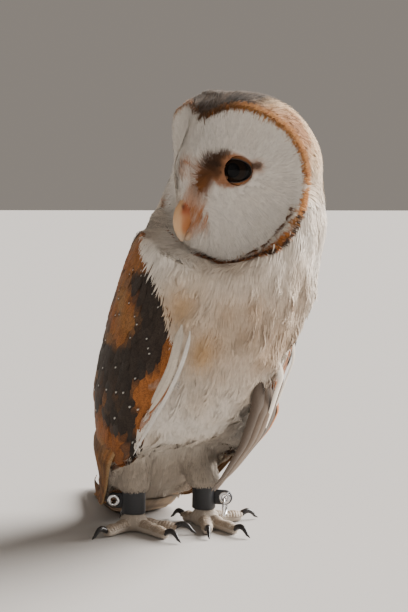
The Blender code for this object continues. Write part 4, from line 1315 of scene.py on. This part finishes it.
for name, side, edges in (("fore_edge_left", 1, left_edge), ("fore_edge_right", -1, right_edge)):
    feathers = [edge_feather(side, *row) for row in edges]
    long_feathers(name, feathers, edge_sides, edge_rows, 8, 0.1)

# ---------------------------------------------------------------- tail feathers
# Twelve broad feathers, golden and barred with brown, closed like a fan: seen from above under the wing
# tips and from below between the legs.

tail_solid = solid_copy(["tail"], 0.0)
tail_tree = BVHTree.FromBMesh(tail_solid)
tail_solid.free()
tail_rows = np.linspace(0, 1, 26)
tail_across = np.array((-1.0, -0.5, 0.0, 0.5, 1.0))


def tail_feather(i, face):
    """One feather over the top (face 1) or the underside (face -1) of the tail."""
    t, u = tail_rows[:, None], tail_across[None]
    spot = (i - 5.5) / 5.5
    s = 0.186 + (0.2845 - 0.186 - 0.004 * spot**2) * t
    middle_line = back_line(s)[0]
    wide = 0.0185 * (1 + 0.1 * ease((s - 0.20) / 0.05))
    across = wide * spot * (0.35 + 0.55 * t) + u * (0.0042 + 0.0022 * t) * round_end(t, 0.88, 0.12)
    guess = middle_line + np.stack([across, 0 * across, face * 0.012 + 0 * across], -1)
    start = (guess + np.array((0, 0, face * 0.02))).reshape(-1, 3)
    hits = [tail_tree.ray_cast(point, (0, 0, -face)) for point in start.tolist()]
    nearest = [tail_tree.find_nearest(point)[0] for point in guess.reshape(-1, 3).tolist()]
    placed = [tuple(near if hit[0] is None else hit[0]) for hit, near in zip(hits, nearest)]
    grid = np.array(placed).reshape(guess.shape)
    rise = 0.0003 + 0.00025 * (1 - abs(spot)) * 3 + 0.0003 * (1 - u**2)
    grid[..., 2] += face * rise
    ups = np.zeros_like(grid)
    ups[..., 2] = face
    tangent = np.zeros_like(grid)
    tangent[..., 0] = 1.0
    normals = unit(ups + tangent * (0.3 * u)[..., None])
    whole = np.ones(grid.shape[:2])
    speck = lattice(grid, 0.0016, 81)
    above = blend(gold * 1.35, buff, speck * 0.6)
    below = blend(cream * 0.8, buff * 0.9, 0.5 + 0.4 * speck)
    bars = ease((np.sin(s * 2 * pi / 0.0185) - 0.45) / 0.3) * whole
    colours = blend(above if face > 0 else below, umber * 1.2, (0.8 if face > 0 else 0.6) * bars)
    colours = blend(colours, cream, 0.5 * ease((t - 0.95) / 0.04) * whole)
    colours = blend(colours, soot, 0.3 * (np.abs(u) < 0.1) * whole)
    colours = colours * (1 - 0.15 * (np.abs(u) > 0.9) * whole)[..., None]
    grid[..., 2] = np.maximum(grid[..., 2], 0.0001)
    return grid, normals, colours


feathers = [tail_feather(i, face) for face in (1, -1) for i in range(12)]
long_feathers("tail_feathers", feathers, tail_across, tail_rows, 12, 0.3)

# ---------------------------------------------------------------- eyes
# Big dark eyes with a bulging cornea, brown-black iris and black pupil, fixed in the skull, and round
# each a soft rim of bare eyelid that lies down on the skin.

eye_radius = 0.0083
gaze_out = radians(21)  # how far each eye looks outward from the face


def eye_finish():
    """Wet and dark: black pupil, brown-black iris and darker rim, by the distance from the middle."""
    finish, shader = new_finish("dark_eye")
    split = finish.node_tree.nodes.new("ShaderNodeSeparateXYZ")
    feed(finish, split, {"Vector": add(finish, "TexCoord", "Object")})
    flat = add(finish, "CombineXYZ", "Vector", {"X": split.outputs["X"], "Z": split.outputs["Z"]})
    reach = add(finish, "VectorMath", "Value", {0: flat}, operation="LENGTH")
    scaled = add(finish, "Math", "Value", {0: reach, 1: 1 / eye_radius}, operation="MULTIPLY")
    ramp = finish.node_tree.nodes.new("ShaderNodeValToRGB")
    rings = ramp.color_ramp.elements
    rings[0].position, rings[0].color = 0.44, (0.0015, 0.0015, 0.002, 1)
    rings[1].position, rings[1].color = 0.50, (0.012, 0.007, 0.004, 1)
    rings.new(0.74).color = (0.010, 0.006, 0.004, 1)
    rings.new(0.82).color = (0.003, 0.003, 0.003, 1)
    feed(finish, ramp, {"Fac": scaled})
    feed(finish, shader, {
        "Base Color": ramp.outputs["Color"],
        "Roughness": 0.035,
        "Specular IOR Level": 0.10,
    })
    return finish


def lid_finish():
    """Soft finely wrinkled skin."""
    finish, shader = new_finish("eyelid_skin")
    place = add(finish, "TexCoord", "Object")
    grain = add(finish, "TexNoise", "Fac", {"Vector": place, "Scale": 2600})
    feed(finish, shader, {
        "Base Color": add(finish, "Attribute", "Color", attribute_name="markings"),
        "Normal": add(finish, "Bump", "Normal", {"Height": grain, "Strength": 0.5, "Distance": 0.0002}),
        "Roughness": 0.55,
    })
    return finish


def facing(side):
    """The eye's axes in the world: side 1 is the owl's left. y looks out."""
    turn = Matrix.Rotation(gaze_out * side, 3, "Z")
    return head_axes @ turn


def round_eye(tilt, around, stretch=1.0):
    """Directions tilted away from y, which looks out of the eye, and turned round it."""
    x, y, z = np.sin(tilt) * np.cos(around), np.cos(tilt) * stretch, np.sin(tilt) * np.sin(around)
    return np.stack([x, y, z], -1)


def grid_object(name, grids, finish, closed=False, colours=None):
    """One smooth object of several grids of points, each (rows, around, 3)."""
    quads, start = [], 0
    for grid in grids:
        rows, around = grid.shape[:2]
        for i in range(rows - 1):
            for j in range(around if closed else around - 1):
                near, far, k = start + i * around, start + (i + 1) * around, (j + 1) % around
                quads.append((near + j, near + k, far + k, far + j))
        start += rows * around
    mesh = bpy.data.meshes.new(name)
    mesh.from_pydata(np.concatenate([grid.reshape(-1, 3) for grid in grids]).tolist(), [], quads)
    mesh.update()
    mesh.shade_smooth()
    if colours is not None:
        mark(mesh, np.clip(colours.reshape(-1, 3), 0, 1), np.zeros(start))
    mesh.materials.append(finish)
    made = bpy.data.objects.new(name, mesh)
    bpy.context.scene.collection.objects.link(made)
    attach(made, "root")
    return made


def closed_up(made):
    """Fills the ends and turns the faces outward."""
    shape = bmesh.new()
    shape.from_mesh(made.data)
    bmesh.ops.holes_fill(shape, edges=[edge for edge in shape.edges if edge.is_boundary])
    bmesh.ops.recalc_face_normals(shape, faces=shape.faces)
    shape.to_mesh(made.data)
    shape.free()
    made.data.shade_smooth()
    return made


def make_eye(side_name, side, finish):
    centre = middle("eye_" + side_name)
    tilt, around = np.linspace(0.02, pi - 0.02, 34), np.linspace(0, 2 * pi, 49)[:-1]
    tilt, around = np.meshgrid(tilt, around, indexing="ij")
    bulge = 1 + 0.045 * ease((radians(48) - tilt) / radians(30))
    ball = round_eye(tilt, around, bulge) * eye_radius
    made = grid_object("eyeball_" + side_name, [ball], finish, closed=True)
    closed_up(made)
    made.matrix_world = Matrix.Translation(centre) @ facing(side).to_4x4()
    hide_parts("eye_" + side_name)


lid_profile = (
    (1.5, -0.10), (0.0, 0.10), (0.2, 0.35), (2.5, 0.52), (6.0, 0.55), (10.0, 0.45), (16.0, 0.30),
    (24.0, 0.1), (34.0, 0.0),
)  # degrees beyond the opening, millimetres above the eyeball
lid_ends = {6: (0.0005, 0.55), 7: (0.0002, 1.0), 8: (-0.0006, 1.0)}  # row: height over the skin, share


def make_lids(side_name, side, finish):
    """A soft rim round the eye, dark at its edge and rusty under the feathers, the opening a rounded
    almond. Its outer rows lie down on the skin."""
    around = np.linspace(0, 2 * pi, 73)[:-1]
    wide, tall = radians(74), radians(47)
    opening = (np.abs(np.cos(around) / wide) ** 2.1 + np.abs(np.sin(around) / tall) ** 2.1) ** (-1 / 2.1)
    inward = np.cos(around) * side
    opening = opening * (1 + 0.05 * np.maximum(inward, 0) ** 6 + 0.08 * np.maximum(-inward, 0) ** 6)
    opening = opening - radians(4) * np.maximum(np.sin(around), 0)
    held = Matrix.Translation(middle("eye_" + side_name)) @ facing(side).to_4x4()
    turned, moved = np.array(held.to_3x3()), np.array(held.translation)
    rim = blend(rust * 0.95, umber * 0.9, 0.8 * np.maximum(inward, 0))
    rows, colours = [], []
    for i, (wider, rise) in enumerate(lid_profile):
        theta = opening + radians(wider)
        row = round_eye(theta, around) * (eye_radius + rise / 1000)
        placed = row @ turned.T + moved
        if i in lid_ends:
            above, share = lid_ends[i]
            roots, patches, _ = on_skin(placed)
            placed = blend(placed, roots + patch_normals[patches] * above, np.full(len(placed), share))
            row = (placed - moved) @ turned
        rows.append(row)
        outer = blend(rim, face_colours(head_place(placed)), np.full(len(placed), ease((i - 5.5) / 2.5)))
        colours.append(blend(soot * 0.3, outer, np.full(len(placed), 0.95 * ease((i - 2) / 3))))
    grid, colours = np.stack(rows), np.stack(colours)
    made = grid_object("eyelids_" + side_name, [grid], finish, closed=True, colours=colours)
    made.matrix_world = held


dark_eye, eyelid_skin = eye_finish(), lid_finish()
for side_name, side in (("left", 1), ("right", -1)):
    make_eye(side_name, side, dark_eye)
    make_lids(side_name, side, eyelid_skin)

# ---------------------------------------------------------------- bill
# A narrow hooked bill of pale horn, pointing down, with a soft redder cere where it leaves the feathers.
# The lower bill is a small trough closed inside the upper.

bill_sections = (
    (-0.0095, 0.0395, 0.0300, 0.0022), (-0.0120, 0.0428, 0.0305, 0.0028),
    (-0.0145, 0.0462, 0.0310, 0.0033), (-0.0190, 0.0494, 0.0325, 0.0036),
    (-0.0240, 0.0505, 0.0352, 0.0033), (-0.0285, 0.0497, 0.0392, 0.0027),
    (-0.0325, 0.0473, 0.0418, 0.0019), (-0.0350, 0.0450, 0.0425, 0.0011),
    (-0.0361, 0.0436, 0.0424, 0.0004),
)  # height, culmen, floor and half width
lower_sections = (
    (-0.0270, 0.0365, 0.0300, 0.0026), (-0.0300, 0.0391, 0.0305, 0.0029),
    (-0.0325, 0.0406, 0.0320, 0.0026), (-0.0345, 0.0410, 0.0345, 0.0018),
    (-0.0356, 0.0407, 0.0372, 0.0009),
)


def bill_finish():
    """Horn with fine layers down its length, a little worn."""
    finish, shader = new_finish("bill_horn")
    place = add(finish, "TexCoord", "Object")
    stretch = add(finish, "Mapping", "Vector", {"Vector": place, "Scale": (1.0, 1.0, 0.25)})
    grain = add(finish, "TexNoise", "Fac", {"Vector": stretch, "Scale": 1400, "Detail": 4.0})
    feed(finish, shader, {
        "Base Color": add(finish, "Attribute", "Color", attribute_name="markings"),
        "Roughness": add(finish, "MapRange", "Result", {"Value": grain, "To Min": 0.30, "To Max": 0.52}),
        "Normal": add(finish, "Bump", "Normal", {"Height": grain, "Strength": 0.30, "Distance": 0.00015}),
        "Subsurface Weight": 0.12,
        "Subsurface Radius": (0.002, 0.001, 0.0006),
        "Subsurface Scale": 1.0,
    })
    return finish


pale_horn, peach_horn = np.array((0.54, 0.40, 0.28)), np.array((0.58, 0.35, 0.18))
rusty_horn, cere_red = np.array((0.46, 0.17, 0.055)), np.array((0.36, 0.085, 0.028))
# the nostrils' colour is painted shade, for the dark of their openings
nostril_painted_shade, nostril_height, nostril_forward = np.array((0.05, 0.015, 0.010)), 0.0172, 0.0462


def bill_colours(local, culmen):
    """Peach horn along the ridge and tip, rusty orange down the sides and red at the cere."""
    height, below = local[..., 2], culmen - local[..., 1]
    horn = blend(peach_horn, pale_horn, ease((-0.029 - height) / 0.006))
    side = ease((below - 0.0014) / 0.0026) * ease((height + 0.035) / 0.006)
    horn = blend(horn, rusty_horn, 0.9 * side)
    cere = ease((height + 0.0235) / 0.004) * ease((below - 0.0006) / 0.0018)
    return blend(horn, cere_red, 0.85 * cere)


def nostril(height, forward, tall, long):
    """1 at the nostril, falling off over its height and length."""
    up, onward = (height + nostril_height) / tall, (forward - nostril_forward) / long
    return np.exp(-(up**2) - (onward**2))


def loft_bill(name, sections, node, finish, gap):
    """Half a bill through its sections; gap is how strongly the shade in its nostrils' openings is
    painted.
    """
    table = [(-row[0], *row[1:]) for row in sections]
    around = np.linspace(0, 2 * pi, 33)[:-1]
    rows = []
    for height in np.linspace(sections[0][0], sections[-1][0], 26):
        top, bottom, half = (reading(table, np.array(-height), column) for column in (1, 2, 3))
        mid, deep = (top + bottom) / 2, (top - bottom) / 2
        x = half * np.sign(np.cos(around)) * np.abs(np.cos(around)) ** 0.85
        y = mid + deep * np.sin(around) - 0.0006 * (np.cos(around) ** 2) * (np.sin(around) < 0)
        x = x - np.sign(x) * 0.0011 * nostril(height, y, 0.0016, 0.0011)
        rows.append(np.stack([x, y, np.full(len(x), height)], -1))
    local = np.stack(rows)
    hole = nostril(local[..., 2], local[..., 1], 0.0014, 0.0009)
    culmen = local[..., 1].max(1, keepdims=True)
    # painted shade: each nostril's dent darkened as the shade in its opening
    colours = blend(bill_colours(local, culmen), nostril_painted_shade, 0.85 * hole * gap)
    grid = to_world(local) + np.array(head_middle)
    made = grid_object(name, [grid], finish, closed=True, colours=colours)
    closed_up(made)
    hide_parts(node)


bill_horn = bill_finish()
loft_bill("upper_bill", bill_sections, "bill_upper", bill_horn, 1.0)
loft_bill("lower_bill", lower_sections, "bill_lower", bill_horn, 0.0)


def down_the_bill(points, kind):
    local = head_place(points)
    side = np.sign(local[:, 0])
    return to_world(np.stack([side * 0.18, np.full(len(local), 0.55), np.full(len(local), -1.0)], -1))


def bristle_colour(points, kind):
    """Rusty orange by the gape, white above and below it."""
    local = head_place(points)
    fine = lattice(local, 0.0011, 71)
    by_gape = ease(1.2 - np.abs(local[:, 2] + 0.0215) / 0.0105)
    colours = blend(blend(white, cream, fine), face_colours(local), 0.7 * (local[:, 0] < 0))
    return blend(colours, rust * 1.6, by_gape * (0.20 + 0.65 * ease(fine * 2.4 - 0.6)))


by_bill = patch_on_face & (bill_clear > 0.0006) & (bill_clear < 0.0090)
by_bill &= (patch_local[:, 2] > -0.041) & (patch_local[:, 2] < -0.002)
by_bill &= rng.random(len(bill_clear)) < ease((0.0098 - bill_clear) / 0.005)
roots, patches, uv = scatter(by_bill, 0.00100)
tufts(
    "bristles_of_the_bill", roots, patches, uv, 0.0085, 0.0030, 7, 0.00024, 0.11,
    direction=down_the_bill, colour=bristle_colour, ragged=0.4, lift=0.3, root_painted_shade=0.2, softness=0.85,
)

# ---------------------------------------------------------------- scales and bristles of the toes
# Overlapping horny plates across the top of each toe, one grown over the next towards the claw, and a few
# short white bristles between them. The undersides stay soft skin.

ankle_spacing, ankle_step = 0.0215, 0.0045
toe_radius, sole_flat = 0.0042, 0.0005
toes = (
    ("inner", -27, 0.0260, 0.0155), ("middle", 6, 0.0305, 0.0160), ("outer", 84, 0.0250, 0.0145),
    ("hind", -156, 0.0145, 0.0120),
)  # name, degrees from straight ahead towards the outside, length of toe and of claw
foot_turn = {"left": 0, "right": -15}


def ankle(side):
    return feet_middle + np.array((side * ankle_spacing, -side * ankle_step, 0.0))


def toe_way(side, turn):
    return np.array((side * sin(radians(turn)), -cos(radians(turn)), 0.0))


def horn_finish(name, colour, roughness, scale, depth):
    """A hard or leathery finish, darker and smoother in the hollows of its grain."""
    finish, shader = new_finish(name)
    place = add(finish, "TexCoord", "Object")
    grain = add(finish, "TexNoise", "Fac", {"Vector": place, "Scale": scale, "Detail": 5.0})
    wear = {"Value": grain, "To Min": roughness - 0.10, "To Max": roughness + 0.14}
    dark, light = [c * 0.65 for c in colour], [min(c * 1.3, 1.0) for c in colour]
    tint = {"Factor": grain, "A": (*dark, 1.0), "B": (*light, 1.0)}
    feed(finish, shader, {
        "Base Color": add(finish, "Mix", "Result", tint, data_type="RGBA"),
        "Roughness": add(finish, "MapRange", "Result", wear),
        "Normal": add(finish, "Bump", "Normal", {"Height": grain, "Strength": 0.45, "Distance": depth}),
    })
    return finish


scute_pitch = 0.00195
scute_profile = ((0.0, -0.00025), (0.25, 0.00012), (0.8, 0.00030), (1.15, 0.00030), (1.25, -0.0001))
straight_up = np.array((0.0, 0.0, 1.0))


def toe_scutes(side, turn, length):
    """Plates over the top of one toe."""
    way = toe_way(side, turn)
    across = np.array((way[1], -way[0], 0.0))
    plates = []
    for i in range(int((length - 0.0040) / scute_pitch)):
        begin = 0.0055 + i * scute_pitch
        rows = []
        for along_plate, rise in scute_profile:
            reach = begin + along_plate * scute_pitch
            t = reach / length
            radius = toe_radius * (1.0 - 0.26 * t + 0.09 * cos(2 * pi * 2.5 * t)) + rise
            height = toe_radius * (1.0 - 0.26 * t) - sole_flat
            bow = np.linspace(-1, 1, 9)
            angle = radians(90) + bow * radians(78)
            onward = way * (reach - 0.0005 * bow**2)[:, None]
            out, over = (radius * np.cos(angle))[:, None], (radius * np.sin(angle))[:, None]
            rows.append(ankle(side) + onward + straight_up * height + across * out + straight_up * over)
        plates.append(np.stack(rows))
    return plates


toe_horn = horn_finish("toe_scales", (0.30, 0.235, 0.175), 0.50, 1500, 0.00025)
for word, side in (("left", 1), ("right", -1)):
    plates = []
    for _, turn, length, _ in toes:
        plates += toe_scutes(side, turn + foot_turn[word], length)
    scutes = grid_object("toe_scales_" + word, plates, toe_horn)


def along_toe(points, kind):
    side = np.where(points[:, 0] > feet_middle[0], 1.0, -1.0)
    centre = feet_middle + np.stack([side * ankle_spacing, -side * ankle_step, np.zeros(len(side))], -1)
    return unit((points - centre) * np.array((1.0, 1.0, 0.0)))


def bristle_white(points, kind):
    return np.broadcast_to(cream, points.shape)


on_toes = (patch_kinds == FOOT) & (patch_normals[:, 2] > 0.25) & (patch_centres[:, 2] > 0.003)
roots, patches, uv = scatter(on_toes, 0.0019)
tufts(
    "bristles_of_the_toes", roots, patches, uv, 0.0042, 0.0010, 3, 0.00022, 0.16,
    direction=along_toe, colour=bristle_white, ragged=0.4,
)

# ---------------------------------------------------------------- claws
# Long hooked claws of black horn, round above and hollowed a little below, sharp at the tip, each grown
# over the end of its toe.

claw_drop = radians(62)
claw_horn = horn_finish("claw_horn", (0.018, 0.016, 0.016), 0.28, 900, 0.0001)


def make_claw(word, side, toe):
    name, turn, toe_length, length = toe
    way = toe_way(side, turn + foot_turn[word])
    across = np.array((way[1], -way[0], 0.0))
    height, bend = 0.85 * toe_radius, length / claw_drop
    turns = np.linspace(0, 2 * pi, 19)[:-1]
    deep = np.where(np.sin(turns) < 0, 0.80 - 0.25 * np.abs(np.sin(turns)) ** 4, 1.0)
    rows = []
    for t in np.linspace(-0.10, 1.0, 20):
        angle = claw_drop * t
        centre = ankle(side) + way * (toe_length + bend * sin(angle))
        centre[2] = height + 0.0021 * sin(pi * min(max(t, 0) * 1.4, 1.0))
        centre[2] -= (height - 0.0007) * (1 - cos(angle)) / (1 - cos(claw_drop))
        normal = way * sin(angle * 0.7) + straight_up * cos(angle * 0.7)
        radius = 0.0025 * max(1 - t, 0.0) ** 0.72 * (1 - 0.25 * (t < 0)) + 0.00006
        sideways = across * (radius * 0.78 * np.cos(turns))[:, None]
        rows.append(centre + sideways + normal * (radius * deep * np.sin(turns))[:, None])
    grid = np.stack(rows)
    grid[..., 2] = np.maximum(grid[..., 2], 0.0002)
    made = grid_object(f"claw_of_{word}_{name}_toe", [grid], claw_horn, closed=True)
    closed_up(made)
    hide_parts(f"claw_{word}_{name}")


for word, side in (("left", 1), ("right", -1)):
    for toe in toes:
        make_claw(word, side, toe)

# ---------------------------------------------------------------- leather anklets
# A soft black leather band round each leg, above the foot, its edges turned and rounded, with a
# round-ended tab that holds a steel eyelet.

shank_radius, cuff_gap, cuff_wall = 0.0052, 0.0003, 0.0015
cuff_bottom, cuff_top, soft_edge = 0.0100, 0.0240, 0.0006
tabs = {"left": (46, 0.0128), "right": (122, 0.0118)}  # degrees from straight ahead, reach from the leg
tab_height, tab_thickness, tab_level = 0.0088, 0.0026, 0.0172
eyelet_hole, eyelet_barrel, eyelet_flange, flange_thickness = 0.0017, 0.0026, 0.0037, 0.0005
black_leather = horn_finish("anklet_leather", (0.022, 0.024, 0.028), 0.46, 1900, 0.0003)


def tab_place(word, side, points):
    """Points in a tab's own frame, put in the world: x out from the leg, y through the leather, z up."""
    turn, reach = tabs[word]
    out = toe_way(side, turn)
    centre = ankle(side) + out * reach + np.array((0.0, 0.0, tab_level))
    return centre + points @ np.stack([out, np.cross(straight_up, out), straight_up])


def rounded_band(inner, outer, bottom, top, soft, points=5):
    """Radius and height round the section of a band with rounded edges."""
    profile = []
    corners = ((outer, top, 0), (inner, top, 90), (inner, bottom, 180), (outer, bottom, 270))
    for radius, height, start in corners:
        centre_r = radius - soft if radius == outer else radius + soft
        centre_h = height - soft if height == top else height + soft
        for turn in np.radians(np.linspace(start, start + 90, points)):
            profile.append((centre_r + soft * cos(turn), centre_h + soft * sin(turn)))
    return np.array(profile)


def cuff_grid(side):
    """The band round the leg, lightly creased outside."""
    inner = shank_radius + cuff_gap
    profile = rounded_band(inner, inner + cuff_wall, cuff_bottom, cuff_top, soft_edge)
    turns = np.linspace(0, 2 * pi, 65)
    wave = 0.0002 * np.sin(turns * 3 + side)
    rows = []
    for radius, height in profile[list(range(len(profile))) + [0]]:
        crease = 0.00012 * np.sin(height * 2 * pi / 0.0047 + np.sin(turns * 2) * 1.5)
        reach = radius + (wave + crease) * (radius > inner + 0.0004)
        level = np.full(len(turns), height)
        rows.append(np.stack([reach * np.cos(turns), reach * np.sin(turns), level], -1))
    return np.stack(rows) + ankle(side)


def tab_grid(word, side):
    """The tab: round outside, square where it runs under the band, with a hole for the eyelet."""
    half = tab_height / 2
    inside = -tabs[word][1] + shank_radius + cuff_gap + 0.3 * cuff_wall
    turns = np.linspace(0, 2 * pi, 65)
    round_x, round_z = np.cos(turns), np.sin(turns)
    square_x = np.maximum(round_x * 2.2, -1) * -inside
    square_z = np.sign(round_z) * np.minimum(np.abs(round_z) * 1.6, 1)
    outer = round_x >= 0
    x, z = np.where(outer, half * round_x, square_x), half * np.where(outer, round_z, square_z)
    outline = np.stack([x, z], -1)
    hole = np.stack([round_x, round_z], -1) * (eyelet_barrel + cuff_gap)
    rows = []
    for shape, shrink, y in (
        (hole, 0, -1), (outline, 1, -1), (outline, 0.2, -0.8), (outline, 0, -0.5), (outline, 0, 0.5),
        (outline, 0.2, 0.8), (outline, 1, 1), (hole, 0, 1), (hole, 0, -1),
    ):
        flat = shape * (1 - shrink * soft_edge / half)
        rows.append(np.stack([flat[:, 0], np.full(len(turns), y * tab_thickness / 2), flat[:, 1]], -1))
    return tab_place(word, side, np.stack(rows))


for word, side in (("left", 1), ("right", -1)):
    anklet = grid_object("leather_anklet_" + word, [cuff_grid(side), tab_grid(word, side)], black_leather)
    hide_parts("anklet_" + word)

# ---------------------------------------------------------------- eyelets and ring
# Bright steel eyelets, turned and riveted through the tabs, and one thin ring of steel wire, closed into
# a circle, that hangs from the left one.


def steel_finish():
    """Bright steel, lightly worn."""
    finish, shader = new_finish("bright_steel")
    grain = add(finish, "TexNoise", "Fac", {"Vector": add(finish, "TexCoord", "Object"), "Scale": 2500})
    feed(finish, shader, {
        "Base Color": (0.66, 0.66, 0.67, 1.0),
        "Metallic": 1.0,
        "Roughness": add(finish, "MapRange", "Result", {"Value": grain, "To Min": 0.14, "To Max": 0.34}),
    })
    return finish


def turned(profile, around=49):
    """Rows of a profile of (radius, y) turned about y."""
    turns = np.linspace(0, 2 * pi, around)
    rows = [(r * np.cos(turns), np.full(around, y), r * np.sin(turns)) for r, y in profile]
    return np.stack([np.stack(row, -1) for row in rows])


def eyelet_profile():
    flat = tab_thickness / 2 + 0.0001
    end = flat + flange_thickness
    half = [
        (eyelet_hole, 0.0), (eyelet_hole, end * 0.8), (eyelet_hole + 0.0003, end * 0.97),
        (eyelet_hole + 0.0008, end), (eyelet_flange - 0.0004, end - 0.0001),
        (eyelet_flange - 0.0001, end - 0.0003), (eyelet_flange, flat), (eyelet_barrel, flat),
        (eyelet_barrel, 0.0),
    ]
    return half + [(r, -y) for r, y in half[::-1]]


steel = steel_finish()
for word, side in (("left", 1), ("right", -1)):
    grid = tab_place(word, side, turned(eyelet_profile()))
    eyelet = grid_object("steel_eyelet_" + word, [grid], steel)
    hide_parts("eyelet_" + word)

ring_radius, ring_wire = 0.0055, 0.0007
section = np.linspace(0, 2 * pi, 17)
wire = turned([(ring_radius + ring_wire * cos(a), ring_wire * sin(a)) for a in section], 65)
hung = np.stack([-wire[..., 1], wire[..., 0], wire[..., 2] - ring_radius], -1)
ring = grid_object("steel_ring", [tab_place("left", 1, hung)], steel)
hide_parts("ring_left")

# ---------------------------------------------------------------- floor, light and camera
# A plain pale floor, a big soft window on the owl's left, a weak fill from the other side and a small
# lamp that shows as a point in the eye.

floor_mesh = bpy.data.meshes.new("floor")
floor_shape = bmesh.new()
bmesh.ops.create_grid(floor_shape, x_segments=1, y_segments=1, size=6.0)
floor_shape.to_mesh(floor_mesh)
floor_shape.free()
floor = bpy.data.objects.new("floor", floor_mesh)
floor.location.z = -0.0002  # just clear of the soles
bpy.context.scene.collection.objects.link(floor)
paper, paper_shader = new_finish("pale_floor")
feed(paper, paper_shader, {"Base Color": (0.44, 0.42, 0.40, 1.0), "Roughness": 0.9})
floor_mesh.materials.append(paper)

world = bpy.data.worlds.new("room")
world.use_nodes = True
feed(world, world.node_tree.nodes["Background"], {"Color": (0.93, 0.83, 0.73, 1.0), "Strength": 0.28})
bpy.context.scene.world = world


owl_middle = Vector((0.0, -0.01, 0.14))


def lamp(name, kind, place, power, tint, size):
    """A soft light aimed at the owl."""
    data = bpy.data.lights.new(name, kind)
    data.energy = power
    data.color = tint
    if kind == "SUN":
        data.angle = size
    else:
        data.size = size
    held = bpy.data.objects.new(name, data)
    held.location = place
    held.rotation_euler = (owl_middle - held.location).to_track_quat("-Z", "Y").to_euler()
    bpy.context.scene.collection.objects.link(held)


lamp("window", "SUN", (1.2, -0.12, 0.85), 14.5, (1.0, 0.965, 0.925), radians(45))
lamp("room_fill", "AREA", (-1.05, -0.35, 0.45), 1.7, (1.0, 0.93, 0.85), 1.2)
lamp("catch_light", "AREA", (-0.42, -0.70, 0.27), 0.25, (1.0, 1.0, 1.0), 0.02)

camera_turn, camera_pitch, camera_roll = radians(-32), radians(5.3), radians(1.0)
camera_away, camera_aside, camera_height = 0.842, 0.0186, 0.210
away = Vector((sin(camera_turn), -cos(camera_turn), 0.0))
aside = Vector((cos(camera_turn), sin(camera_turn), 0.0))
lens = bpy.data.cameras.new("camera")
lens.sensor_fit = "VERTICAL"
lens.sensor_height = 36.0
lens.lens = 85.0
camera = bpy.data.objects.new("camera", lens)
look = -away * cos(camera_pitch) - Vector((0, 0, sin(camera_pitch)))
level = look.cross(Vector((0, 0, 1))).normalized()
axes = Matrix((level, level.cross(look), -look)).transposed().to_4x4()
stand_at = Vector(feet_middle) + away * camera_away + aside * camera_aside + Vector((0, 0, camera_height))
camera.matrix_world = Matrix.Translation(stand_at) @ axes @ Matrix.Rotation(camera_roll, 4, "Z")
bpy.context.scene.collection.objects.link(camera)
bpy.context.scene.camera = camera
